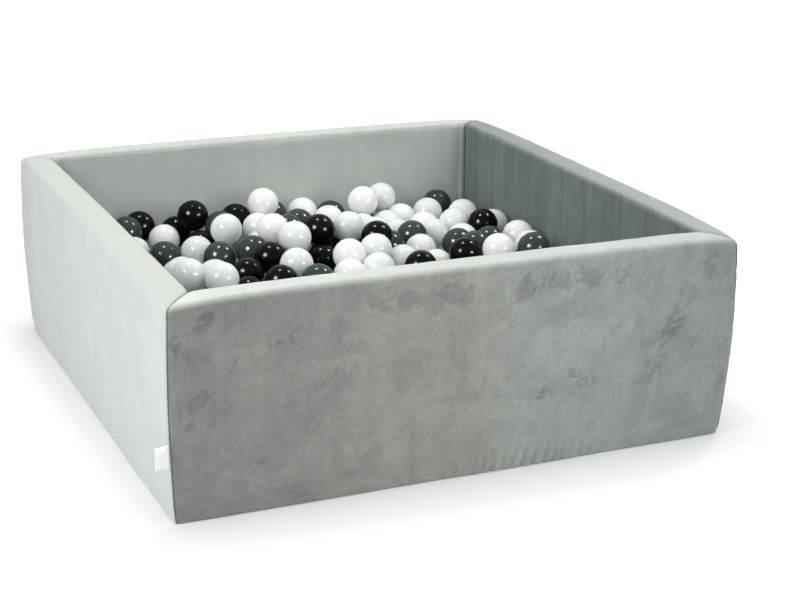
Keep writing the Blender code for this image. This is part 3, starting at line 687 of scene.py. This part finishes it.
def marked(marks, along, height):
    """The strongest of some marks at a point of the near wall."""
    wobble = MARK_WOBBLE * noise.noise(Vector((along, height, 0.31)) * MARK_WOBBLE_SCALE)
    strongest = 0.0
    for middle, level, half_length, half_width, tilt, strength in marks:
        a = math.radians(tilt)
        x, y = along - middle, height - level
        down = (x * math.sin(a) + y * math.cos(a)) / half_length
        beside = (x * math.cos(a) - y * math.sin(a)) / half_width
        away = max(math.hypot(down, beside) + wobble, MARK_CORE)
        strongest = max(strongest, strength * bell(away, MARK_CORE, MARK_FADE))
    return strongest


def pile_tone_and_painted_light(side, along, height, zone, from_seam):
    """The share of its colour that the pile has at a point, with painted light and shade in it."""
    end = PIT_SIDE / 2
    rim = np.interp(along, (-end, end), RIM_SHARES[side])
    if zone > INNER_FROM:
        # painted shade in an inner seam, and painted light and shade of the soft folds beside it
        seam = np.interp(from_seam, INNER_SEAM, INNER_SEAM_SHARES[side])
        # painted light, growing downwards on an inner face
        depth = min((RIM_HEIGHT - height) / INNER_RISE_DEPTH, 1.0)
        return np.full(3, seam * (1 + INNER_RISE[side] * depth))
    # darker in an outer seam: pile pressed in and painted shade
    seam = np.interp(from_seam, OUTER_SEAM, OUTER_SEAM_SHARES[side])
    if zone >= 1.0:
        return np.full(3, seam * (rim + (1 - rim) * 2 * (zone - 1)))
    shade = np.interp(along, BRUSHED_ENDS, BRUSHED_SHARES[side]) - 1
    # painted shade in the gathers' valleys and painted light on their ridges
    shade += GATHER_SHADE * gathered(side, along, height, zone)
    tint = np.zeros(3)
    if side == "front":
        shade += marked(LIFTED, along, height)
        tint = np.array(COOLER) * max(along, 0.0) / (PIT_SIDE / 2)
    return (1 + (shade + tint) * (1 - zone) + (rim - 1) * zone) * seam


def wall_piece(side, material):
    """One velvet wall, mitred at both ends, with its pile's colour and painted light and shade on it.
    """
    path = wall_path()
    points, piles, mottles, streaks, crushes = [], [], [], [], []
    for column in range(WALL_COLUMNS + 1):
        share = 2 * column / WALL_COLUMNS - 1
        along_share = (1 - CROWDING) * share + CROWDING * math.sin(math.radians(90) * share)
        for depth, height, out_depth, out_height, zone in path:
            if zone < 1.0 and out_height > -1.0:
                depth += lean(max(height, 0.0))
            from_seam = (PIT_SIDE / 2 - depth) * (1 - abs(along_share))
            if zone < 1.0 and height < TUCK_HEIGHT:
                tuck = CORNER_TUCKS[side][along_share > 0] * (1 - max(height, 0.0) / TUCK_HEIGHT) ** 2
                depth += tuck * math.exp(-((from_seam / TUCK_WIDTH) ** 2))
            inward = depth / WALL_THICKNESS
            reach = PIT_SIDE / 2 - depth
            along = along_share * reach
            drop = OUTER_CORNER_DROP + (INNER_CORNER_DROP - OUTER_CORNER_DROP) * inward
            drop *= abs(along / (PIT_SIDE / 2)) ** CORNER_DROP_POWER
            stood = height * (1 - drop / WALL_HEIGHT)
            out = fold(side, along, max(height, 0.0), zone, from_seam) if out_height > -1.0 else 0.0
            depth += out * out_depth
            stood += out * max(out_height, 0.0)
            along = along_share * (PIT_SIDE / 2 - depth - SEAM_GAP)
            level = WALL_FOOT + stood
            points.append((along, depth - PIT_SIDE / 2, level))
            # the pile's colour with painted light and shade of faces, seams and folds
            pile = mixed(PILE_WITH_PAINTED_LIGHT[side], zone) * pile_tone_and_painted_light(side, along, level, zone, from_seam)
            piles.append((*pile, 1.0))
            mottles.append(float(mixed(MOTTLE[side], zone)))
            streaks.append(float(mixed(STREAKS[side], zone)))
            painted = side == "front" and zone < 1.0
            crushes.append(marked(CRUSHED, along, level) * (1 - zone) if painted else 0.0)
    rows = len(path)
    faces = []
    for column in range(WALL_COLUMNS):
        faces += quads(column * rows, (column + 1) * rows, rows)
    faces.append(tuple(range(rows)))
    faces.append(tuple(WALL_COLUMNS * rows + row for row in range(rows)))
    name = f"velvet_{side}"
    mesh = mesh_of(name, points, faces)
    # stored as the pile's colour, painted light and shade included
    tint = mesh.attributes.new("pile", "FLOAT_COLOR", "POINT")
    tint.data.foreach_set("color", np.array(piles, dtype=np.float32).ravel())
    for attribute, values in (("mottle", mottles), ("streaks", streaks), ("crushed", crushes)):
        layer = mesh.attributes.new(attribute, "FLOAT", "POINT")
        layer.data.foreach_set("value", np.array(values, dtype=np.float32))
    mesh.transform(Matrix.Rotation(math.radians(90) * WALL_TURNS[side], 4, "Z"))
    face_outward(mesh)
    mesh.materials.append(material)
    mesh.shade_smooth()
    mesh.set_sharp_from_angle(angle=SHARP_ANGLE)
    piece = link(name, mesh)
    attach(piece, "pit")
    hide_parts(f"cover_{side}", f"wall_foam_{side}")
    return piece


def cut_zip_slot(wall):
    """Opens the velvet along the zip's tapes."""
    low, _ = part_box("zip_tape_lower")
    _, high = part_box("zip_tape_upper")
    slot = block(low, high, Vector(SLOT_MARGINS) * GAP)
    cutter = link("zip_slot", mesh_from("zip_slot", slot))
    step = wall.modifiers.new("slot", "BOOLEAN")
    step.operation = "DIFFERENCE"
    step.object = cutter
    depsgraph = bpy.context.evaluated_depsgraph_get()
    cut = bpy.data.meshes.new_from_object(wall.evaluated_get(depsgraph))
    wall.modifiers.clear()
    wall.data = cut
    bpy.data.objects.remove(cutter, do_unlink=True)


def make_walls():
    material = velvet()
    for side in WALL_TURNS:
        wall = wall_piece(side, material)
        if side == "back":
            cut_zip_slot(wall)


def make_mat():
    """A foam mat with rounded edges and piping round its upper edge."""
    low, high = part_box("mat_cover_top")
    cloth = weave("mat_cloth", (0.33, 0.35, 0.34), 0.85, 0.0012)
    bm = block(low, high)
    edges = bm.edges[:]
    bmesh.ops.bevel(bm, geom=edges, offset=MAT_ROUNDING, segments=5, profile=0.5, affect="EDGES")
    for vert in bm.verts:
        if vert.co.z > (low.z + high.z) / 2:
            vert.co.z -= MAT_SETTLE
    mesh = mesh_from("mat_pad", bm)
    mesh.materials.append(cloth)
    mesh.shade_smooth()
    pad = link("mat_pad", mesh)
    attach(pad, "mat")
    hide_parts("mat_cover_top", "mat_cover_bottom", "mat_foam")

    curve = bpy.data.curves.new("mat_piping", "CURVE")
    curve.dimensions = "3D"
    curve.bevel_depth = PIPING_RADIUS
    curve.bevel_resolution = 2
    line = curve.splines.new("POLY")
    line.use_cyclic_u = True
    centre = (high - low) / 2 - Vector((1, 1, 0)) * (PIPING_INSET + PIPING_CORNER)
    points = []
    for x, y, start in ((1, 1, 0), (-1, 1, 90), (-1, -1, 180), (1, -1, 270)):
        for step in range(PIPING_STEPS + 1):
            a = math.radians(start + 90 * step / PIPING_STEPS)
            across = x * centre.x + PIPING_CORNER * math.cos(a)
            points.append((across, y * centre.y + PIPING_CORNER * math.sin(a)))
    line.points.add(len(points) - 1)
    for point, (x, y) in zip(line.points, points):
        point.co = (x, y, high.z - PIPING_DROP, 1)
    curve.materials.append(cloth)
    piping = link("mat_piping", curve)
    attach(piping, "mat")


def make_base():
    """The non-slip panel, its edge and rounded corners under the velvet's foot."""
    low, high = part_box("base_panel")
    bm = block(low, high, Vector((-2, -2, 0)) * BASE_INSET)
    upright = []
    for edge in bm.edges:
        start, end = edge.verts
        if abs(start.co.z - end.co.z) > (high.z - low.z) / 2:
            upright.append(edge)
    bmesh.ops.bevel(bm, geom=upright, offset=BASE_CORNER, segments=8, profile=0.5, affect="EDGES")
    mesh = mesh_from("base_sheet", bm)
    mesh.materials.append(grippy())
    base = link("base_sheet", mesh)
    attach(base, "pit")
    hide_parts("base_panel")


def many(name, parts):
    """One mesh of several copies, each a point array and its faces."""
    points, faces, start = [], [], 0
    for part_points, part_faces in parts:
        points.append(part_points)
        faces += [tuple(start + index for index in face) for face in part_faces]
        start += len(part_points)
    return mesh_of(name, np.concatenate(points), faces)


def rod(centre, direction, length, radius, sides=8):
    """Points and faces of a short round rod with domed ends."""
    stations = [(-0.5, 0.55), (-0.42, 1.0), (0.42, 1.0), (0.5, 0.55)]
    turn = Vector((0, 0, 1)).rotation_difference(Vector(direction)).to_matrix()
    points = []
    for share, width in stations:
        for side in range(sides):
            a = math.tau * side / sides
            reach = radius * width
            local = Vector((math.cos(a) * reach, math.sin(a) * reach, share * length))
            points.append(Vector(centre) + turn @ local)
    faces = [tuple(reversed(range(sides))), tuple(3 * sides + side for side in range(sides))]
    for level in range(3):
        faces += quads(level * sides, (level + 1) * sides, sides)
    return np.array(points), faces


def make_coil():
    """Slanting teeth in two rows that reach past each other."""
    low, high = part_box("zip_chain")
    middle = (low + high) / 2
    count = int((high.x - low.x) / TOOTH_PITCH)
    teeth = []
    half = (high.z - low.z) / 2
    for index in range(2 * count):
        x = low.x + TOOTH_PITCH / 4 + index * TOOTH_PITCH / 2
        side = 1 if index % 2 else -1
        centre = (x, middle.y, middle.z + side * half * TOOTH_SHIFT_SHARE)
        teeth.append(rod(centre, (TOOTH_SLANT, 0, 1), half * TOOTH_LENGTH_SHARE, TOOTH_RADIUS))
    coil = link("zip_coil", many("zip_coil", teeth))
    coil.data.materials.append(moulded_nylon())
    coil.data.shade_smooth()
    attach(coil, "pit")
    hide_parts("zip_chain")


def make_tape(node, cloth):
    """One of the zip's tapes, ribbed on its outer face."""
    low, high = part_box(node)
    points, faces = [], []
    for depth in (high.y, low.y):
        for column in range(TAPE_COLUMNS + 1):
            for row in range(TAPE_ROWS + 1):
                x = low.x + (high.x - low.x) * column / TAPE_COLUMNS
                z = low.z + (high.z - low.z) * row / TAPE_ROWS
                rib = TAPE_RIB * (column % 2) if depth == high.y else 0.0
                points.append((x, depth - rib, z))
    width = TAPE_ROWS + 1
    layer = (TAPE_COLUMNS + 1) * width
    for column in range(TAPE_COLUMNS):
        for start in (column * width, layer + column * width):
            faces += quads(start, start + width, width, closed=False)
    border = list(range(TAPE_ROWS))
    border += [column * width + TAPE_ROWS for column in range(TAPE_COLUMNS)]
    border += [TAPE_COLUMNS * width + row for row in range(TAPE_ROWS, 0, -1)]
    border += [column * width for column in range(TAPE_COLUMNS, 0, -1)]
    for a, b in zip(border, border[1:] + border[:1]):
        faces.append((a, b, layer + b, layer + a))
    mesh = mesh_of(node + "_cloth", points, faces)
    face_outward(mesh)
    mesh.materials.append(cloth)
    tape = link(node + "_cloth", mesh)
    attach(tape, "pit")
    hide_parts(node)


def make_stitching():
    """A row of stitches along either edge of the zip's slot."""
    lowest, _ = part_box("zip_tape_lower")
    _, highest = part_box("zip_tape_upper")
    stitches = []
    for height in (lowest.z - GAP - STITCH_OFFSET, highest.z + GAP + STITCH_OFFSET):
        depth = PIT_SIDE / 2 - lean(height - WALL_FOOT)
        for index in range(int((highest.x - lowest.x) / STITCH_PITCH)):
            x = lowest.x + STITCH_PITCH * (index + 0.5)
            stitches.append(rod((x, depth, height), (1, 0, 0), STITCH_LENGTH, STITCH_RADIUS, 6))
    seam = link("zip_stitching", many("zip_stitching", stitches))
    seam.data.materials.append(thread())
    seam.data.shade_smooth()
    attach(seam, "pit")


def make_zip():
    """Coil, tapes and stitching, and a bevelled slider, pull and stops."""
    make_coil()
    cloth = weave("zip_cloth", (0.45, 0.47, 0.45), 0.8, 0.0008)
    for node in ("zip_tape_upper", "zip_tape_lower"):
        make_tape(node, cloth)
    make_stitching()
    metal = satin_metal()
    for node in ("zip_slider", "zip_pull", "zip_stop_closed", "zip_stop_open"):
        piece = frame["nodes"][node]
        piece.data.materials.clear()
        piece.data.materials.append(metal)
        step = piece.modifiers.new("rounding", "BEVEL")
        step.width = METAL_ROUNDING
        step.segments = 3
        step.limit_method = "ANGLE"


def make_label():
    """A blank ribbon loop, slightly bellied, out of the near left seam."""
    joints = frame["record"]["behaviour"]["joints"]
    root = next(joint for joint in joints if joint["name"] == "label_swing")
    place = Vector(root["pos_m"])
    path = []
    straight = LABEL_REACH - LABEL_FOLD_GAP / 2
    for step in range(LABEL_STEPS + 1):
        path.append((straight * step / LABEL_STEPS, LABEL_FOLD_GAP / 2))
    for step in range(1, LABEL_FOLD_STEPS):
        a = math.radians(90) - math.radians(180) * step / LABEL_FOLD_STEPS
        path.append((straight + LABEL_FOLD_GAP / 2 * math.cos(a), LABEL_FOLD_GAP / 2 * math.sin(a)))
    for step in range(LABEL_STEPS, -1, -1):
        path.append((straight * step / LABEL_STEPS, -LABEL_FOLD_GAP / 2))
    turn = Matrix.Rotation(math.radians(180) + LABEL_TURN, 3, "Z")
    points, faces = [], []
    for row in range(LABEL_ROWS + 1):
        height = LABEL_HEIGHT * (row / LABEL_ROWS - 0.5)
        for x, y in path:
            wave = math.sin(LABEL_CURL_TURN * height / LABEL_HEIGHT + LABEL_CURL_START)
            bent = LABEL_CURL * math.sin(math.pi * x / LABEL_REACH) * wave
            points.append(place + turn @ Vector((x, y + bent, height + LABEL_RISE)))
    width = len(path)
    for row in range(LABEL_ROWS):
        faces += quads(row * width, (row + 1) * width, width, closed=False)
    mesh = mesh_of("ribbon_label", points, faces)
    mesh.materials.append(satin_ribbon())
    mesh.shade_smooth()
    label = link("ribbon_label", mesh)
    step = label.modifiers.new("thickness", "SOLIDIFY")
    step.thickness = RIBBON_THICKNESS
    step.offset = 0
    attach(label, "label")
    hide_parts("side_label")


def ball_facets():
    """Unit normals and distances of the sixty facets of the part's balls."""
    golden = (1 + math.sqrt(5)) / 2
    bm = bmesh.new()
    bmesh.ops.create_icosphere(bm, subdivisions=1, radius=1)
    tilt = Matrix.Rotation(-math.atan(1 / golden), 3, "X") @ Matrix.Rotation(-math.radians(90), 3, "Z")
    first_edges = bm.edges[:]
    bmesh.ops.poke(bm, faces=bm.faces[:])
    bmesh.ops.rotate_edges(bm, edges=first_edges)
    for vert in bm.verts:
        vert.co = tilt @ vert.co.normalized() * BALL_CORNER_SHARE * BALL_RADIUS
    bm.normal_update()
    inward = [face for face in bm.faces if face.normal.dot(face.verts[0].co) < 0]
    bmesh.ops.reverse_faces(bm, faces=inward)
    bm.normal_update()
    normals = np.array([face.normal[:] for face in bm.faces])
    distances = np.array([face.normal.dot(face.verts[0].co) for face in bm.faces])
    bm.free()
    return normals, distances


def layer_heights(spots):
    across = np.sin(math.tau * spots[:, 0] / SWELL_LENGTH_X + SWELL_PHASES[0])
    along = np.cos(math.tau * spots[:, 1] / SWELL_LENGTH_Y + SWELL_PHASES[1])
    return LAYER_HEIGHT + LAYER_SWELL * across * along


def heights_over(spots, centre, facets):
    """Lowest height at each place in plan that clears one ball from above, or -1 beside it."""
    normals, distances = facets
    above, below = normals[:, 2] > LEVEL_SLOPE, normals[:, 2] < -LEVEL_SLOPE
    beside = ~above & ~below
    step = spots - np.asarray(centre[:2])
    bounds = 2 * distances + GAP - step @ normals[:, :2].T
    ceiling = (bounds[:, above] / normals[above, 2]).min(axis=1)
    floor = (bounds[:, below] / normals[below, 2]).max(axis=1)
    meets = (ceiling > floor) & (bounds[:, beside] > 0).all(axis=1)
    return np.where(meets, centre[2] + ceiling, -1)


def lower_onto(spots, balls, facets):
    heights = layer_heights(spots)
    for ball in balls:
        heights = np.maximum(heights, heights_over(spots, ball[:3], facets))
    return heights


def joined_balls():
    """The balls of the top layer that the part's bed holds: x, y, z and tone.

    Those with a capital lie loose and have nodes of their own.
    """
    facets = ball_facets()
    balls = []
    for x_share, y_share, tone in SHOWN_BALL_SHARES:
        spot = np.array([[x_share, y_share]]) * INNER_HALF
        balls.append((spot[0, 0], spot[0, 1], lower_onto(spot, balls, facets)[0], tone))
    draw = np.random.default_rng(FILLER_SEED)
    limit = INNER_HALF - BALL_RADIUS - 2 * GAP
    spots = draw.uniform(-limit, limit, (FILLER_SPOTS, 2))
    heights = lower_onto(spots, balls, facets)
    nearest = limit - np.abs(spots).max(axis=1)
    for ball in balls:
        away = np.hypot(*(spots - np.array(ball[:2])).T) - BALL_DIAMETER
        nearest = np.minimum(nearest, np.abs(away))
    while True:
        free = heights <= HIGHEST_FILLER
        if not free.any():
            break
        cost = np.where(free, heights + SNUG_SHARE * nearest, np.inf)
        chosen = int(np.argmin(cost))
        tone = "kgwp"[int(draw.integers(4))]
        ball = (spots[chosen, 0], spots[chosen, 1], heights[chosen], tone)
        balls.append(ball)
        heights = np.maximum(heights, heights_over(spots, ball[:3], facets))
        heights[chosen] = np.inf
        away = np.hypot(*(spots - np.array(ball[:2])).T) - BALL_DIAMETER
        nearest = np.minimum(nearest, np.abs(away))
    highest = BED_HEIGHT + BALL_RADIUS - BED_DIP
    return [ball for ball in balls if ball[3].islower() and ball[2] <= highest]


def deep_balls(draw):
    """Two layers under the top one, each ball in a hollow of the layer below."""
    balls = []
    for height, count in DEEP_LAYERS:
        for row in range(count):
            for column in range(count):
                x = (column - (count - 1) / 2) * DEEP_PITCH
                y = (row - (count - 1) / 2) * DEEP_PITCH
                shift = draw.uniform(-DEEP_SHIFT, DEEP_SHIFT, 2)
                tone = "kgwp"[int(draw.integers(4))]
                balls.append((x + shift[0], y + shift[1], height, tone))
    return balls


def shell(segments, rings):
    """A moulded ball: a ridge at its parting line and a dip where it was blown."""
    points, faces = [], []
    for ring in rings[1:]:
        a = math.radians(ring)
        radius = SHELL_RADIUS + SEAM_RIDGE * math.exp(-((ring / RIDGE_DEGREES) ** 2))
        if ring >= VENT_RING:
            radius -= VENT_DIP
        reach, level = radius * math.cos(a), radius * math.sin(a)
        for segment in range(segments):
            b = math.tau * segment / segments
            points.append((reach * math.cos(b), reach * math.sin(b), level))
    count = len(rings) - 1
    for ring in range(count - 1):
        faces += quads(ring * segments, (ring + 1) * segments, segments)
    bottom = len(points)
    points.append((0, 0, -SHELL_RADIUS))
    points.append((0, 0, SHELL_RADIUS - VENT_DIP))
    last = (count - 1) * segments
    for segment in range(segments):
        after = (segment + 1) % segments
        faces.append((bottom, after, segment))
        faces.append((bottom + 1, last + segment, last + after))
    return np.array(points), faces


def random_turn(draw):
    """An evenly drawn rotation."""
    values = draw.normal(size=4)
    return np.array(Quaternion(values / np.linalg.norm(values)).to_matrix())


def placed(shape, place, draw):
    """Points and faces of a ball at a place, turned as drawn."""
    return shape[0] @ random_turn(draw).T + np.array(place), shape[1]


def make_balls():
    """Each loose ball by itself, and the rest in one piece for each tone."""
    draw = np.random.default_rng(TURN_SEED)
    finish = {
        "black": glossy_plastic("ball_black", (0.003, 0.004, 0.0035), 0.15, 0.07),
        "graphite": glossy_plastic("ball_graphite", (0.040, 0.056, 0.058), 0.16, 0.12),
        "white": glossy_plastic("ball_white", (0.93, 0.935, 0.93), 0.20, 0.08, 0.8),
        "pearl": glossy_plastic("ball_pearl", (0.80, 0.84, 0.84), 0.20, 0.08, 0.8),
    }
    fine = shell(SHELL_SEGMENTS, SHELL_RINGS)
    coarse = shell(DEEP_SEGMENTS, DEEP_RINGS)
    carrier = {}
    for body, nodes in frame["record"]["behaviour"]["bodies"].items():
        for node in nodes:
            carrier[node] = body
    for node in sorted(carrier):
        if not node.startswith("ball_") or node == "ball_bed":
            continue
        tone = node.split("_")[2]
        low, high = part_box(node)
        mesh = mesh_of("loose_" + node, *placed(fine, (low + high) / 2, draw))
        mesh.materials.append(finish[tone])
        mesh.shade_smooth()
        piece = link("loose_" + node, mesh)
        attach(piece, carrier[node])
        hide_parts(node)

    parts = {tone: [] for tone in finish}
    for x, y, z, letter in joined_balls():
        parts[TONES[letter]].append(placed(fine, (x, y, z), draw))
    for x, y, z, letter in deep_balls(draw):
        parts[TONES[letter]].append(placed(coarse, (x, y, z), draw))
    for tone, shells in parts.items():
        mesh = many(f"fill_{tone}", shells)
        mesh.materials.append(finish[tone])
        mesh.shade_smooth()
        piece = link(f"fill_{tone}", mesh)
        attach(piece, "ball_fill")
        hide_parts("ball_bed")


def facing(place):
    """Set at a place and turned towards the pit."""
    away = Vector(place) - Vector(LAMP_TARGET)
    return Matrix.Translation(place) @ away.to_track_quat("Z", "Y").to_matrix().to_4x4()


def area_lamp(name, place, size, power):
    lamp = bpy.data.lights.new(name, "AREA")
    lamp.shape = "SQUARE"
    lamp.size = size
    lamp.energy = power
    link(name, lamp).matrix_world = facing(place)


def gleam_card(name, place, size):
    """A bright square that only glossy rays see, not the camera, shadows or diffuse light."""
    half = size / 2
    corners = ((-half, -half, 0), (half, -half, 0), (half, half, 0), (-half, half, 0))
    mesh = mesh_of(name, corners, [(0, 1, 2, 3)])
    made = Shader(name, (0, 0, 0), 1.0)
    made.set("Specular IOR Level", 0.0)
    made.set("Emission Color", (1, 1, 1, 1))
    made.set("Emission Strength", GLEAM)
    mesh.materials.append(made.material)
    card = link(name, mesh)
    card.matrix_world = facing(place)
    card.visible_camera = False
    card.visible_diffuse = False
    card.visible_transmission = False
    card.visible_shadow = False


def seen(tree):
    """1 for a ray from the camera, or one reflected or let through, and 0 for any other."""
    rays = tree.nodes.new("ShaderNodeLightPath")
    either = rays.outputs["Is Camera Ray"]
    for kind in ("Is Glossy Ray", "Is Transmission Ray"):
        larger = tree.nodes.new("ShaderNodeMath")
        larger.operation = "MAXIMUM"
        tree.links.new(either, larger.inputs[0])
        tree.links.new(rays.outputs[kind], larger.inputs[1])
        either = larger.outputs["Value"]
    return either


def make_floor():
    """A pale floor that keeps the shadow and reads white in the picture."""
    bm = bmesh.new()
    bmesh.ops.create_grid(bm, x_segments=8, y_segments=8, size=FLOOR_SIZE)
    mesh = mesh_from("floor", bm)
    made = Shader("floor", (0.86, 0.86, 0.87), 0.9)
    made.set("Specular IOR Level", 0.0)
    made.set("Emission Color", (1, 1, 1, 1))
    apart = made.node("ShaderNodeSeparateXYZ", {"Vector": made.position()})
    across = made.maths("ABSOLUTE", apart.outputs["X"], 0)
    along = made.maths("ABSOLUTE", apart.outputs["Y"], 0)
    away = made.maths("MAXIMUM", across, along)
    edge = PIT_SIDE / 2
    amount = made.between(away, GLOW_NEAR, GLOW_FAR, edge, edge + GLOW_WIDTH)
    glow = made.maths("MULTIPLY", seen(made.tree), amount)
    made.set("Emission Strength", glow)
    mesh.materials.append(made.material)
    link("floor", mesh)


def make_world():
    """White where it is seen or mirrored, and an even soft light elsewhere."""
    world = bpy.data.worlds.new("studio")
    bpy.context.scene.world = world
    world.use_nodes = True
    nodes, links = world.node_tree.nodes, world.node_tree.links
    background = nodes["Background"]
    background.inputs["Color"].default_value = (1, 1, 1, 1)
    strength = nodes.new("ShaderNodeMapRange")
    strength.inputs["To Min"].default_value = FILL_LIGHT
    strength.inputs["To Max"].default_value = 1.0
    links.new(seen(world.node_tree), strength.inputs["Value"])
    links.new(strength.outputs["Result"], background.inputs["Strength"])


def make_lights():
    """Two softboxes beside the camera and two small lamps overhead, and how the balls show them."""
    for name, card_name, place, size, power in LAMPS:
        area_lamp(name, place, size, power)
        gleam_card(card_name, place, size * CARD_SHARE)


def make_camera():
    data = bpy.data.cameras.new("camera")
    data.lens = LENS
    data.sensor_width = SENSOR_WIDTH
    data.shift_x = SHIFT_X
    data.dof.use_dof = False
    camera = link("camera", data)
    ahead = math.cos(PITCH)
    forward = Vector((math.sin(YAW) * ahead, math.cos(YAW) * ahead, -math.sin(PITCH)))
    right = Vector((math.cos(YAW), -math.sin(YAW), 0))
    up = right.cross(forward)
    across = math.cos(ROLL) * right + math.sin(ROLL) * up
    upward = math.cos(ROLL) * up - math.sin(ROLL) * right
    turn = Matrix((across, upward, -forward)).transposed().to_4x4()
    camera.matrix_world = Matrix.Translation(EYE) @ turn
    bpy.context.scene.camera = camera


make_camera()
make_world()
make_lights()
make_floor()
make_walls()
make_mat()
make_base()
make_zip()
make_label()
make_balls()
bpy.context.scene.view_settings.view_transform = "Standard"
